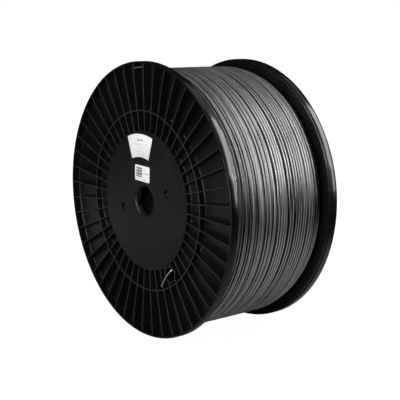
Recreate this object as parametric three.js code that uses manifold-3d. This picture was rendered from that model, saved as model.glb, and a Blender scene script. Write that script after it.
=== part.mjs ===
// A large filament spool: two ribbed flanges on a drum and a spindle tube, with its wound filament.
// Millimetres, +Z up. The spindle axis is Y, the labelled flange faces -Y, and the origin is the
// middle of the bore. The spool stands on the rims of its two flanges.
import * as THREE from 'three';
import { mergeVertices } from 'three/addons/utils/BufferGeometryUtils.js';
import Module from 'manifold-3d';

const degrees = THREE.MathUtils.degToRad;

// ---- Driving dimensions -------------------------------------------------------------------------

const FLANGE_DIAMETER = 355;
const SPOOL_WIDTH = 171;

// Flange section, measured in from its front edge, which is the front of the rim.
const FLANGE_THICKNESS = 12;
const RIM_WIDTH = 9; // the band of full diameter
const RIM_WALL = 2.5;
const RIM_STEP = 1.5; // the web's edge stands in from the band by this
const RIM_CHAMFER = 0.5;
const WEB_THICKNESS = 1.7;

// The face is dished: the ribs are level near the rim, and from there they fall toward the hub disc.
const RIB_RECESS = 0.3;
const RIB_LEVEL_LENGTH = 19;
const HUB_RECESS = 2.7;

const RIB_COUNT = 48;
const RIB_THICKNESS = 1.8;
const RIB_START_ANGLE = degrees(4.9);
const RIB_END_EDGE = 0.4; // the hub disc and the rim's lip reach this far over the ribs' ends
const RING_MID_RADIUS = 116;
const RING_THICKNESS = 2;

const HUB_DISC_DIAMETER = 180.2;
const HUB_DISC_THICKNESS = 3;
const HUB_WALL = 3;

const BORE_DIAMETER = 38;
const BORE_CHAMFER = 1.5;
const COLLAR_LENGTH = 8;
const COLLAR_WALL = 3;
const COLLAR_SLOT_WIDTH = 5;
const COLLAR_SLOT_DEPTH = 1.8;

const DRIVE_HOLE_DIAMETER = 11.2;
const DRIVE_HOLE_DEPTH = 4.2;
const DRIVE_HOLE_COUNT = 2;
const DRIVE_HOLE_PITCH_RADIUS = 51;
const DRIVE_HOLE_ANGLE = degrees(16.1);
const DRIVE_CUP_WALL = 1.5; // of the cup that closes each hole behind the hub disc

// The round well that the start of the filament comes out of.
const WELL_DIAMETER = 19;
const WELL_WALL = 1.5;
const WELL_RECESS = 2;
const WELL_MARGIN = 18; // from the drum's outside in to the well's middle
const WELL_ANGLE = degrees(-58.5);

// The small hole that the end of the filament is threaded through.
const END_HOLE_DIAMETER = 3.2;
const END_HOLE_ANGLE = degrees(92.4);
const END_HOLE_EDGE = 3; // from the hole to the rim's wall

const DRUM_WALL = 4;
const SPIGOT_HEIGHT = 5;
const SPIGOT_WALL = 2;
const START_HOLE_DIAMETER = 4;
const START_HOLE_DEPTH = 15; // from the flange's winding face to the hole's middle

const SPINDLE_TUBE_WALL = 2.5;

const FILAMENT_DIAMETER = 1.75;
const WINDING_MARGIN = 9.1; // from the rim down to the top of the winding
const WINDING_DEPTH = 48.4; // from the top of the winding down to the drum
const SHOULDER_LENGTH = 33; // the winding falls away toward each flange over this length
const SHOULDER_DROP = 8.3;
const SHOULDER_POWER = 3;
const LOOP_COUNT = 24; // each loop stands for the three or four turns that lie side by side there
const LOOP_GAP = 0.6;
const STRAND_BEND_RADIUS = 3.5;

const LABEL_THICKNESS = 0.3;
const FAN_LABEL_OUTER_RADIUS = 84.8;
const FAN_LABEL_INNER_RADIUS = 55;
const FAN_LABEL_HALF_ANGLE = degrees(19.2);
const FAN_LABEL_ARC_CENTRE = { x: -6.6, z: 1.2 };
const CODE_LABEL_WIDTH = 32.4;
const CODE_LABEL_HEIGHT = 20.4;
const CODE_LABEL_CORNER = 1.5;
const CODE_LABEL_CENTRE = { x: -3, z: 35.2 };
const CODE_LABEL_TILT = degrees(-3.3);

const CLEARANCE = 0.3; // between pieces that seat round each other
const TAIL_CLEARANCE = 0.15; // between a loose end of filament and the ribs that it lies on
const CUT_MARGIN = 1; // how far a cutting shape runs past what it cuts

// Facets: a facet of every round piece is centred on each axis, so the spool stands level.
const ROUND_SEGMENTS = 48;
const HOLE_SEGMENTS = 16;
const LOOP_STEPS = 24;
const STRAND_SIDES = 6;
const BEND_STEPS = 3;
const TAIL_SIDES = 8;
const FAN_SEGMENTS = 10;
const CORNER_SEGMENTS = 3;
const TAIL_STEP_LENGTH = 3;
const SHOULDER_STEPS = 3;

// ---- Sizes that follow from them ----------------------------------------------------------------

const rimRadius = FLANGE_DIAMETER / 2;
const rimInnerRadius = rimRadius - RIM_WALL;
const webFloor = FLANGE_THICKNESS - WEB_THICKNESS;
const hubRadius = HUB_DISC_DIAMETER / 2;
const boreRadius = BORE_DIAMETER / 2;
const collarOuterRadius = boreRadius + COLLAR_WALL;
const collarEnd = HUB_RECESS + COLLAR_LENGTH;
const hubDiscBack = HUB_RECESS + HUB_DISC_THICKNESS;
const ribStep = (2 * Math.PI) / RIB_COUNT;
const ribLevelRadius = rimInnerRadius - RIB_LEVEL_LENGTH;
const driveHoleFloor = HUB_RECESS + DRIVE_HOLE_DEPTH;
const wellRadius = WELL_DIAMETER / 2;
const endHoleRadius = rimInnerRadius - END_HOLE_EDGE - END_HOLE_DIAMETER / 2;

const windingRadius = rimRadius - WINDING_MARGIN;
const drumRadius = windingRadius - WINDING_DEPTH;
const drumInnerRadius = drumRadius - DRUM_WALL;
const drumLength = SPOOL_WIDTH - 2 * FLANGE_THICKNESS;
const spigotRadius = drumInnerRadius - CLEARANCE;
const wellPitchRadius = drumRadius - WELL_MARGIN;
const spindleTubeInnerRadius = collarOuterRadius + CLEARANCE;
const spindleTubeLength = SPOOL_WIDTH - 2 * (hubDiscBack + CLEARANCE);

// The loops fill the width between the flanges: one pitch is a strand and a gap.
const loopPitch = (drumLength - 2 * CLEARANCE + LOOP_GAP) / (LOOP_COUNT + 1);
const strandRadius = (loopPitch - LOOP_GAP) / 2;
const strandFlatRadius = strandRadius * Math.cos(Math.PI / STRAND_SIDES);
const loopStepAngle = (2 * Math.PI) / LOOP_STEPS;
const loopStartY = -(drumLength / 2 - CLEARANCE - strandRadius);
const loopStartAngle = Math.PI / 2;
const coreInnerRadius = drumRadius + CLEARANCE;
const coreLength = drumLength - 2 * CLEARANCE;

const filamentRadius = FILAMENT_DIAMETER / 2;
const frontFace = -SPOOL_WIDTH / 2;

// ---- Materials ----------------------------------------------------------------------------------

const blackPlastic = () => new THREE.MeshStandardMaterial({ color: 0x1d1e20, roughness: 0.5, metalness: 0 });
const greyFilament = () => new THREE.MeshStandardMaterial({ color: 0x75777a, roughness: 0.35, metalness: 0.3 });
const whitePaper = () => new THREE.MeshStandardMaterial({ color: 0xf0f0ee, roughness: 0.6, metalness: 0 });

// ---- Helpers ------------------------------------------------------------------------------------

const wasm = await Module();
wasm.setup();

function pointsOnly(geometry) {
  const bare = geometry.clone();
  bare.deleteAttribute('normal');
  bare.deleteAttribute('uv');
  return mergeVertices(bare);
}

function solid(geometry) {
  const merged = pointsOnly(geometry);
  return new wasm.Manifold(new wasm.Mesh({
    numProp: 3,
    vertProperties: new Float32Array(merged.attributes.position.array),
    triVerts: new Uint32Array(merged.index.array),
  }));
}

function geometryOf(body) {
  const mesh = body.getMesh();
  const geometry = new THREE.BufferGeometry();
  geometry.setAttribute('position', new THREE.BufferAttribute(mesh.vertProperties, 3));
  geometry.setIndex(new THREE.BufferAttribute(mesh.triVerts, 1));
  return geometry;
}

function subPart(name, geometry, material) {
  geometry.computeVertexNormals();
  material.flatShading = true;
  const mesh = new THREE.Mesh(geometry, material);
  mesh.name = name;
  return mesh;
}

// A point at a distance from the spindle axis, at an angle from +X toward +Z.
function polar(radius, angle, y = 0) {
  return new THREE.Vector3(radius * Math.cos(angle), y, radius * Math.sin(angle));
}

// Turns a closed outline of [radius, y] corners round the spindle axis. A radius is measured to the
// middle of a facet, so bores and what fits them keep their clearance all the way round.
function turned(corners) {
  const reach = 1 / Math.cos(Math.PI / ROUND_SEGMENTS);
  const outline = corners.map(([radius, y]) => new THREE.Vector2(radius * reach, y));
  if (THREE.ShapeUtils.area(outline) < 0) outline.reverse();
  outline.push(outline[0].clone());
  return new THREE.LatheGeometry(outline, ROUND_SEGMENTS, Math.PI / ROUND_SEGMENTS);
}

function tubeSection(innerRadius, outerRadius, startY, endY) {
  return [[innerRadius, startY], [outerRadius, startY], [outerRadius, endY], [innerRadius, endY]];
}

// A round bar along Y that stands at a point of the flange's face.
function bar(radius, centre, startY, endY, segments = HOLE_SEGMENTS) {
  const cylinder = new THREE.CylinderGeometry(radius, radius, endY - startY, segments);
  return cylinder.translate(centre.x, (startY + endY) / 2, centre.z);
}

// A box that lies along a radius: its length runs out from one radius to another.
function radialBox(startRadius, endRadius, startY, endY, width, angle) {
  const box = new THREE.BoxGeometry(endRadius - startRadius, endY - startY, width);
  box.translate((startRadius + endRadius) / 2, (startY + endY) / 2, 0);
  return box.rotateY(-angle);
}

// How far the ribs' front edges lie behind the rim's at a radius.
function faceRecess(radius) {
  const share = (radius - hubRadius) / (ribLevelRadius - hubRadius);
  return THREE.MathUtils.lerp(HUB_RECESS, RIB_RECESS, THREE.MathUtils.clamp(share, 0, 1));
}

function regularOutline(radius, sides) {
  const corners = Array.from({ length: sides }, (_, side) => {
    const angle = (2 * Math.PI * (side + 0.5)) / sides;
    return new THREE.Vector2(radius * Math.cos(angle), radius * Math.sin(angle));
  });
  return new THREE.Shape(corners);
}

// ---- Flange: one moulding, used twice -----------------------------------------------------------

const wellCentre = polar(wellPitchRadius, WELL_ANGLE);

function flangeBlank() {
  const webRadius = rimRadius - RIM_STEP;
  return turned([
    [boreRadius + BORE_CHAMFER, HUB_RECESS],
    [hubRadius - RIB_END_EDGE, HUB_RECESS],
    [ribLevelRadius, RIB_RECESS],
    [rimInnerRadius - RIB_END_EDGE, RIB_RECESS],
    [rimInnerRadius - RIB_END_EDGE, 0],
    [rimRadius - RIM_CHAMFER, 0],
    [rimRadius, RIM_CHAMFER],
    [rimRadius, RIM_WIDTH],
    [webRadius, RIM_WIDTH],
    [webRadius, FLANGE_THICKNESS],
    [spigotRadius, FLANGE_THICKNESS],
    [spigotRadius, FLANGE_THICKNESS + SPIGOT_HEIGHT],
    [spigotRadius - SPIGOT_WALL, FLANGE_THICKNESS + SPIGOT_HEIGHT],
    [spigotRadius - SPIGOT_WALL, FLANGE_THICKNESS],
    [hubRadius - HUB_WALL, FLANGE_THICKNESS],
    [hubRadius - HUB_WALL, hubDiscBack],
    [collarOuterRadius, hubDiscBack],
    [collarOuterRadius, collarEnd],
    [boreRadius, collarEnd],
    [boreRadius, HUB_RECESS + BORE_CHAMFER],
  ]);
}

// The space between two ribs, open to the front, from one radius to another. A radius is measured to
// the middle of the space.
function pocketGeometry(innerRadius, outerRadius, ribAngle) {
  const half = RIB_THICKNESS / 2;
  const corner = (radius, side) => {
    const reach = radius / Math.cos(ribStep / 2 - Math.asin(half / radius));
    const angle = ribAngle + (side > 0 ? 0 : ribStep) + side * Math.asin(half / reach);
    return new THREE.Vector2(reach * Math.cos(angle), reach * Math.sin(angle));
  };
  const outline = new THREE.Shape([
    corner(innerRadius, 1), corner(outerRadius, 1), corner(outerRadius, -1), corner(innerRadius, -1),
  ]);
  return new THREE.ExtrudeGeometry(outline, { depth: webFloor + CUT_MARGIN, bevelEnabled: false })
    .rotateX(Math.PI / 2)
    .translate(0, webFloor, 0);
}

function flangeGeometry() {
  let flange = solid(flangeBlank());
  for (let rib = 0; rib < RIB_COUNT; rib += 1) {
    const angle = RIB_START_ANGLE + rib * ribStep;
    const ringInner = RING_MID_RADIUS - RING_THICKNESS / 2;
    flange = flange.subtract(solid(pocketGeometry(hubRadius, ringInner, angle)));
    flange = flange.subtract(solid(pocketGeometry(ringInner + RING_THICKNESS, rimInnerRadius, angle)));
  }

  const wellBack = webFloor + WEB_THICKNESS / 2;
  flange = flange.add(solid(bar(wellRadius + WELL_WALL, wellCentre, WELL_RECESS, wellBack)));
  flange = flange.subtract(solid(bar(wellRadius, wellCentre, -CUT_MARGIN, FLANGE_THICKNESS + CUT_MARGIN)));

  for (let hole = 0; hole < DRIVE_HOLE_COUNT; hole += 1) {
    const angle = DRIVE_HOLE_ANGLE + (2 * Math.PI * hole) / DRIVE_HOLE_COUNT;
    const centre = polar(DRIVE_HOLE_PITCH_RADIUS, angle);
    const radius = DRIVE_HOLE_DIAMETER / 2;
    const cupStart = hubDiscBack - HUB_DISC_THICKNESS / 2;
    const cup = bar(radius + DRIVE_CUP_WALL, centre, cupStart, driveHoleFloor + DRIVE_CUP_WALL);
    flange = flange.add(solid(cup)).subtract(solid(bar(radius, centre, 0, driveHoleFloor)));
  }

  const endHoleCentre = polar(endHoleRadius, END_HOLE_ANGLE);
  const endHoleBack = FLANGE_THICKNESS + CUT_MARGIN;
  const endHole = bar(END_HOLE_DIAMETER / 2, endHoleCentre, webFloor - CUT_MARGIN, endHoleBack, TAIL_SIDES);
  flange = flange.subtract(solid(endHole));

  const slotStart = boreRadius - CUT_MARGIN;
  const slotEnd = boreRadius + COLLAR_SLOT_DEPTH;
  const slotAngle = DRIVE_HOLE_ANGLE + Math.PI;
  const slot = radialBox(slotStart, slotEnd, hubDiscBack, collarEnd + CUT_MARGIN, COLLAR_SLOT_WIDTH, slotAngle);
  return geometryOf(flange.subtract(solid(slot)));
}

// ---- Drum and spindle tube ----------------------------------------------------------------------

// A point by the well, in well radii from its centre: along the way that the loose end leaves it,
// and to the left of that way.
const TAIL_HEADING = degrees(238.3);
function byWell(along, aside, y) {
  const point = wellCentre.clone().setY(y);
  point.add(polar(along * wellRadius, TAIL_HEADING));
  return point.add(polar(-aside * wellRadius, TAIL_HEADING + Math.PI / 2));
}

// The filament runs along the inside of the drum at this angle and radius, in line with the well.
const startTailRun = byWell(-0.8, 0.1, 0);
const startTailAngle = Math.atan2(startTailRun.z, startTailRun.x);
const startTailRunRadius = startTailRun.length();
const startHoleY = -drumLength / 2 + START_HOLE_DEPTH;

function drumGeometry() {
  const shell = solid(turned(tubeSection(drumInnerRadius, drumRadius, -drumLength / 2, drumLength / 2)));
  const drill = new THREE.CylinderGeometry(
    START_HOLE_DIAMETER / 2, START_HOLE_DIAMETER / 2, DRUM_WALL + 4 * CUT_MARGIN, TAIL_SIDES);
  drill.rotateZ(Math.PI / 2);
  drill.translate(drumRadius - DRUM_WALL / 2, startHoleY, 0);
  drill.rotateY(-startTailAngle);
  return geometryOf(shell.subtract(solid(drill)));
}

function spindleTubeGeometry() {
  const outerRadius = spindleTubeInnerRadius + SPINDLE_TUBE_WALL;
  const half = spindleTubeLength / 2;
  return pointsOnly(turned(tubeSection(spindleTubeInnerRadius, outerRadius, -half, half)));
}

// ---- Wound filament: a plain core under one outer layer of loops --------------------------------

// The share of the way along a shoulder, from 0 where the winding starts to fall to 1 at the flange.
function shoulderShare(y) {
  return Math.max(0, 1 - (drumLength / 2 - Math.abs(y)) / SHOULDER_LENGTH);
}

function windingRadiusAt(y) {
  return windingRadius - SHOULDER_DROP * shoulderShare(y) ** SHOULDER_POWER;
}

function loopRadiusAt(y) {
  return windingRadiusAt(y) - strandFlatRadius;
}

// The core stays clear of the loops at right angles to the winding's slope. The straight sides of
// the loops come nearer to the axis than their corners do.
function coreRadiusAt(y) {
  const slope = (SHOULDER_POWER * SHOULDER_DROP * shoulderShare(y) ** (SHOULDER_POWER - 1)) / SHOULDER_LENGTH;
  const stretch = Math.hypot(1, slope);
  return (loopRadiusAt(y) - strandRadius * stretch) * Math.cos(loopStepAngle / 2) - CLEARANCE * stretch;
}

const endLoopRadius = loopRadiusAt(loopStartY);

// Where the outer layer dives into the core. side is -1 at the front flange, where the layer
// starts, and 1 at the rear one, where it stops.
function strandEnd(side) {
  const outward = polar(1, loopStartAngle);
  const along = polar(1, loopStartAngle + Math.PI / 2);
  const bendCentre = outward.clone().multiplyScalar(endLoopRadius - STRAND_BEND_RADIUS);
  bendCentre.y = side * -loopStartY;
  const points = [];
  for (let step = 0; step < BEND_STEPS; step += 1) {
    const angle = (Math.PI / 2) * (step / BEND_STEPS);
    points.push(bendCentre.clone()
      .addScaledVector(along, side * STRAND_BEND_RADIUS * Math.cos(angle))
      .addScaledVector(outward, STRAND_BEND_RADIUS * Math.sin(angle)));
  }
  points.unshift(points[0].clone().addScaledVector(outward, -2 * strandRadius));
  return side < 0 ? points : points.reverse();
}

function strandCentreLine() {
  const points = strandEnd(-1);
  const stepCount = LOOP_COUNT * LOOP_STEPS;
  for (let step = 0; step <= stepCount; step += 1) {
    const y = loopStartY + (loopPitch * step) / LOOP_STEPS;
    points.push(polar(loopRadiusAt(y), loopStartAngle + loopStepAngle * step, y));
  }
  return [...points, ...strandEnd(1)];
}

// One ring of corners round each point of the centre line, with two corners along the spindle axis.
function strandRings(centreLine) {
  return centreLine.map((point, index) => {
    const before = centreLine[Math.max(index - 1, 0)];
    const after = centreLine[Math.min(index + 1, centreLine.length - 1)];
    const tangent = after.clone().sub(before).normalize();
    const across = new THREE.Vector3(0, 1, 0).addScaledVector(tangent, -tangent.y).normalize();
    const outward = tangent.clone().cross(across);
    return Array.from({ length: STRAND_SIDES }, (_, side) => {
      const angle = (2 * Math.PI * side) / STRAND_SIDES;
      return point.clone()
        .addScaledVector(across, strandRadius * Math.cos(angle))
        .addScaledVector(outward, strandRadius * Math.sin(angle));
    });
  });
}

// The least distance between points of the strand that lie more than half a loop apart along it.
function leastGap(rings) {
  let least = Infinity;
  for (let first = 0; first < rings.length; first += 1) {
    for (let second = first + LOOP_STEPS / 2; second < rings.length; second += 1) {
      for (const corner of rings[first]) {
        for (const other of rings[second]) least = Math.min(least, corner.distanceTo(other));
      }
    }
  }
  return least;
}

function outerLayerGeometry() {
  const rings = strandRings(strandCentreLine());
  console.log(`least gap between the outer layer's loops: ${leastGap(rings).toFixed(2)} mm`);
  const corner = (ring, side) => ring * STRAND_SIDES + (side % STRAND_SIDES);
  const lastRing = rings.length - 1;
  const triangles = [];
  for (let ring = 0; ring < lastRing; ring += 1) {
    for (let side = 0; side < STRAND_SIDES; side += 1) {
      triangles.push(corner(ring, side), corner(ring, side + 1), corner(ring + 1, side + 1));
      triangles.push(corner(ring, side), corner(ring + 1, side + 1), corner(ring + 1, side));
    }
  }
  for (let side = 1; side < STRAND_SIDES - 1; side += 1) {
    triangles.push(corner(0, 0), corner(0, side + 1), corner(0, side));
    triangles.push(corner(lastRing, 0), corner(lastRing, side), corner(lastRing, side + 1));
  }
  const geometry = new THREE.BufferGeometry().setFromPoints(rings.flat());
  geometry.setIndex(triangles);
  return geometry;
}

function coreGeometry() {
  const corners = [];
  for (let step = 0; step <= SHOULDER_STEPS; step += 1) {
    const y = coreLength / 2 - (SHOULDER_LENGTH * step) / SHOULDER_STEPS;
    corners.push([coreRadiusAt(y), y]);
  }
  const mirrored = corners.map(([radius, y]) => [radius, -y]).reverse();
  const ends = [[coreInnerRadius, -coreLength / 2], [coreInnerRadius, coreLength / 2]];
  let core = solid(turned([...corners, ...mirrored, ...ends]));
  const floor = endLoopRadius - STRAND_BEND_RADIUS - 2 * strandRadius - CLEARANCE;
  const notchWidth = 2 * (strandRadius + CLEARANCE);
  for (const side of [-1, 1]) {
    const nearFlange = side * (coreLength / 2 + CUT_MARGIN);
    const nearMiddle = side * (-loopStartY - strandRadius - CLEARANCE);
    const notch = new THREE.BoxGeometry(notchWidth, Math.abs(nearFlange - nearMiddle), windingRadius - floor);
    notch.translate(-side * STRAND_BEND_RADIUS, (nearFlange + nearMiddle) / 2, (windingRadius + floor) / 2);
    core = core.subtract(solid(notch));
  }
  return geometryOf(core);
}

// ---- The two loose ends, of the filament's own diameter -----------------------------------------

function tailGeometry(points) {
  const path = new THREE.CatmullRomCurve3(points, false, 'centripetal');
  const steps = Math.ceil(path.getLength() / TAIL_STEP_LENGTH);
  const section = regularOutline(filamentRadius, TAIL_SIDES);
  return new THREE.ExtrudeGeometry(section, { steps, extrudePath: path, bevelEnabled: false });
}

// How far behind the rim's front edge a loose end lies where it rests on the ribs or the well's edge.
function tailDepth(point) {
  const rest = Math.min(WELL_RECESS, faceRecess(Math.hypot(point.x, point.z)));
  return rest - TAIL_CLEARANCE - filamentRadius;
}

// From the drum's hole through the inside of the drum, out of the well and down over the ribs.
function startTailPoints() {
  const inDrum = (radius, y) => polar(radius, startTailAngle, y);
  // lift is the share of the way from the ribs down to the web.
  const onFace = (along, aside, lift) => {
    const point = byWell(along, aside, 0);
    return point.setY(frontFace + THREE.MathUtils.lerp(tailDepth(point), webFloor, lift));
  };
  return [
    inDrum(drumRadius - CLEARANCE, startHoleY),
    inDrum(drumRadius - 2 * DRUM_WALL, startHoleY),
    inDrum((drumInnerRadius + startTailRunRadius) / 2 - SPIGOT_WALL, startHoleY - 0.15 * START_HOLE_DEPTH),
    inDrum(startTailRunRadius, startHoleY - 0.6 * START_HOLE_DEPTH),
    inDrum(startTailRunRadius, frontFace + webFloor),
    onFace(-0.62, 0.2, 0.37),
    onFace(-0.1, 0.27, 0.14),
    onFace(0.4, 0.33, 0.03),
    onFace(0.89, 0.39, 0),
    onFace(1.78, 0.47, 0),
    onFace(2.53, 0.48, 0),
  ];
}

// From the winding out through the small hole in the web, then forward to lie against the next rib.
function endTailPoints() {
  const hole = polar(endHoleRadius, END_HOLE_ANGLE, frontFace + webFloor + WEB_THICKNESS / 2);
  const nextRib = Math.ceil((END_HOLE_ANGLE - RIB_START_ANGLE) / ribStep);
  const restRadius = endHoleRadius - filamentRadius;
  const reach = RIB_THICKNESS / 2 + filamentRadius + TAIL_CLEARANCE;
  const restAngle = RIB_START_ANGLE + nextRib * ribStep - reach / restRadius;
  const rest = polar(restRadius, restAngle, frontFace + filamentRadius + TAIL_CLEARANCE);

  const windingY = -drumLength / 2 + SHOULDER_LENGTH / 5;
  const lie = windingRadiusAt(windingY) + 2 * filamentRadius + CLEARANCE;
  const back = (angle, radius, y) => polar(radius, END_HOLE_ANGLE - angle, y);
  const between = (share) => THREE.MathUtils.lerp(endHoleRadius, lie, share);
  return [
    back(degrees(5), lie, windingY),
    back(degrees(3), between(0.75), THREE.MathUtils.lerp(hole.y, windingY, 0.85)),
    back(degrees(1.1), between(0.25), THREE.MathUtils.lerp(hole.y, windingY, 0.5)),
    hole.clone().lerp(back(degrees(1.1), between(0.25), windingY), 0.2),
    hole,
    hole.clone().lerp(rest, 0.22),
    hole.clone().lerp(rest, 0.6),
    rest,
  ];
}

// ---- Labels, stuck to the hub disc --------------------------------------------------------------

// Gives a flat outline the label's thickness and stands it up, facing -Y.
function labelGeometry(outline, curveSegments) {
  return new THREE.ExtrudeGeometry(outline, { depth: LABEL_THICKNESS, bevelEnabled: false, curveSegments })
    .rotateX(Math.PI / 2);
}

function fanOutline() {
  const left = Math.PI / 2 + FAN_LABEL_HALF_ANGLE;
  const right = Math.PI / 2 - FAN_LABEL_HALF_ANGLE;
  const outline = new THREE.Shape();
  outline.absarc(0, 0, FAN_LABEL_INNER_RADIUS, left, right, true);
  outline.absarc(0, 0, FAN_LABEL_OUTER_RADIUS, right, left, false);
  return outline;
}

function codeOutline() {
  const right = CODE_LABEL_WIDTH / 2 - CODE_LABEL_CORNER;
  const top = CODE_LABEL_HEIGHT / 2 - CODE_LABEL_CORNER;
  const corners = [[right, top], [-right, top], [-right, -top], [right, -top]];
  const outline = new THREE.Shape();
  corners.forEach(([x, y], quarter) => {
    const start = (quarter * Math.PI) / 2;
    outline.absarc(x, y, CODE_LABEL_CORNER, start, start + Math.PI / 2, false);
  });
  return outline;
}

// ---- Assembly -----------------------------------------------------------------------------------

const spool = new THREE.Group();
spool.name = 'filament_spool';

const flangeShape = flangeGeometry();
const frontFlange = subPart('front_flange', flangeShape, blackPlastic());
frontFlange.position.y = -SPOOL_WIDTH / 2;
const rearFlange = subPart('rear_flange', flangeShape.clone(), blackPlastic());
rearFlange.position.y = SPOOL_WIDTH / 2;
rearFlange.rotation.z = Math.PI;
spool.add(frontFlange, rearFlange);

spool.add(subPart('drum', drumGeometry(), blackPlastic()));
spool.add(subPart('spindle_tube', spindleTubeGeometry(), blackPlastic()));

const winding = new THREE.Group();
winding.add(subPart('filament_core', coreGeometry(), greyFilament()));
winding.add(subPart('filament_outer_layer', outerLayerGeometry(), greyFilament()));
winding.add(subPart('filament_start_tail', tailGeometry(startTailPoints()), greyFilament()));
winding.add(subPart('filament_end_tail', tailGeometry(endTailPoints()), greyFilament()));
spool.add(winding);

const labels = new THREE.Group();
labels.position.y = -SPOOL_WIDTH / 2 + HUB_RECESS;
const fanLabel = subPart('fan_label', labelGeometry(fanOutline(), FAN_SEGMENTS), whitePaper());
fanLabel.position.set(FAN_LABEL_ARC_CENTRE.x, 0, FAN_LABEL_ARC_CENTRE.z);
const codeLabel = subPart('code_label', labelGeometry(codeOutline(), CORNER_SEGMENTS), whitePaper());
codeLabel.position.set(CODE_LABEL_CENTRE.x, 0, CODE_LABEL_CENTRE.z);
codeLabel.rotation.y = -CODE_LABEL_TILT;
labels.add(fanLabel, codeLabel);
spool.add(labels);

export default spool;
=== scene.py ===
"""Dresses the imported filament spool: ribbed flanges, wound filament, loose ends and labels.

Sizes are written in millimetres and turned into metres where a mesh is made. The spindle axis is Y,
the labelled flange faces -Y, +Z is up, and the origin is the middle of the spindle bore.
"""

from __future__ import annotations

import logging
import math
import random
from collections.abc import Sequence
from dataclasses import dataclass, field
from enum import Enum
from functools import reduce

import bpy
from mathutils import Matrix, Vector


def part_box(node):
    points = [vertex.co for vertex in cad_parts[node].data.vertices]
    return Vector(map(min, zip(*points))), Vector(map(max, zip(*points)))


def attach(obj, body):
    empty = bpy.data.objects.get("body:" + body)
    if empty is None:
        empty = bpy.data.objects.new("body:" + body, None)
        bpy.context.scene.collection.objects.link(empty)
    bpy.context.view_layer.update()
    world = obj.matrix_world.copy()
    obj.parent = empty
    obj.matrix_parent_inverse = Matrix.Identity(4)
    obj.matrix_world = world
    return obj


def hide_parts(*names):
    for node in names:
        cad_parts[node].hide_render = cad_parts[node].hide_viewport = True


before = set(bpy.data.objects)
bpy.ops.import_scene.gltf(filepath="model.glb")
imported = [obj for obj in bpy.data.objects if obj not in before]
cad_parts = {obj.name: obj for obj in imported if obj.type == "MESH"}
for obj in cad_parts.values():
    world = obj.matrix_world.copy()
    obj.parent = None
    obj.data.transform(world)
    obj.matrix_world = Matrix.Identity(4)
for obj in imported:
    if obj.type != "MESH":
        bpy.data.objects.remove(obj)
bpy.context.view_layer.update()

log = logging.getLogger("filament_spool")

MM = 0.001
BODY = "root"
# A filament turn's tone, random in part and with painted shade on sunk and lower turns.
STRAND_TONE_AND_SHADE = "strand_tone_and_shade"
FULL_TURN = 2 * math.pi

Outline = list[tuple[float, float]]
Colour = tuple[float, float, float, float]


# ---- Shader toolkit -----------------------------------------------------------------------------

# A Mix node's colour sockets go by number, because their names are also those of its other sockets.
MIX_COLOURS = (6, 7)
MIX_RESULT = 2


class Curve(Enum):
    """How a value rises between two limits, by the Map Range node's word for it."""

    EVEN = "LINEAR"
    SOFT = "SMOOTHSTEP"


class Signal:
    """An output socket of a node tree that can be used in ordinary arithmetic."""

    def __init__(self, graph: Graph, socket: bpy.types.NodeSocket) -> None:
        """Wraps one socket.

        Args:
            graph: The graph that the socket belongs to, where new nodes go.
            socket: The output socket.
        """
        self.graph = graph
        self.socket = socket

    def _math(self, operation: str, other: Value = 0.0, flipped: bool = False) -> Signal:
        """Adds a Math node.

        Args:
            operation: The Math node's operation.
            other: The second operand.
            flipped: Whether the other operand comes first.

        Returns:
            The node's output.
        """
        first, second = (other, self) if flipped else (self, other)
        return self.graph.add("ShaderNodeMath", {"operation": operation}, {0: first, 1: second})

    def __add__(self, other: Value) -> Signal:
        """Sum."""
        return self._math("ADD", other)

    def __radd__(self, other: Value) -> Signal:
        """Sum with the number first."""
        return self._math("ADD", other, flipped=True)

    def __sub__(self, other: Value) -> Signal:
        """Difference."""
        return self._math("SUBTRACT", other)

    def __rsub__(self, other: Value) -> Signal:
        """Difference with the number first."""
        return self._math("SUBTRACT", other, flipped=True)

    def __mul__(self, other: Value) -> Signal:
        """Product."""
        return self._math("MULTIPLY", other)

    def __rmul__(self, other: Value) -> Signal:
        """Product with the number first."""
        return self._math("MULTIPLY", other, flipped=True)

    def __truediv__(self, other: Value) -> Signal:
        """Quotient."""
        return self._math("DIVIDE", other)

    def __lt__(self, other: Value) -> Signal:
        """1 where this is less than the other, 0 elsewhere."""
        return self._math("LESS_THAN", other)

    def __gt__(self, other: Value) -> Signal:
        """1 where this is greater than the other, 0 elsewhere."""
        return self._math("GREATER_THAN", other)

    def __abs__(self) -> Signal:
        """Absolute value."""
        return self._math("ABSOLUTE")

    def root(self) -> Signal:
        """Square root."""
        return self._math("SQRT")

    def fraction(self) -> Signal:
        """What is left after the whole number."""
        return self._math("FRACT")

    def larger(self, other: Value) -> Signal:
        """The larger of the two."""
        return self._math("MAXIMUM", other)

    def swing(self, share: float) -> Signal:
        """Noise round one half as a change round 0, times a share."""
        return (self - 0.5) * share

    def rise(self, low: float, high: float, curve: Curve = Curve.SOFT) -> Signal:
        """Rises from 0 at low to 1 at high, and is level beyond them.

        Args:
            low: The value up to which the result is 0.
            high: The value from which the result is 1.
            curve: How it rises between the two.

        Returns:
            The share.
        """
        inputs = {"Value": self, "From Min": low, "From Max": high}
        return self.graph.add("ShaderNodeMapRange", {"interpolation_type": curve.value}, inputs)

    def blend(self, low: Colour | Signal, high: Colour | Signal) -> Signal:
        """Blends two colours by this value.

        Args:
            low: The colour where this is 0.
            high: The colour where this is 1.

        Returns:
            The blended colour.
        """
        settings = {"data_type": "RGBA", "clamp_factor": True}
        inputs = {0: self, MIX_COLOURS[0]: low, MIX_COLOURS[1]: high}
        return self.graph.add("ShaderNodeMix", settings, inputs, MIX_RESULT)


Value = float | Signal


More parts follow.
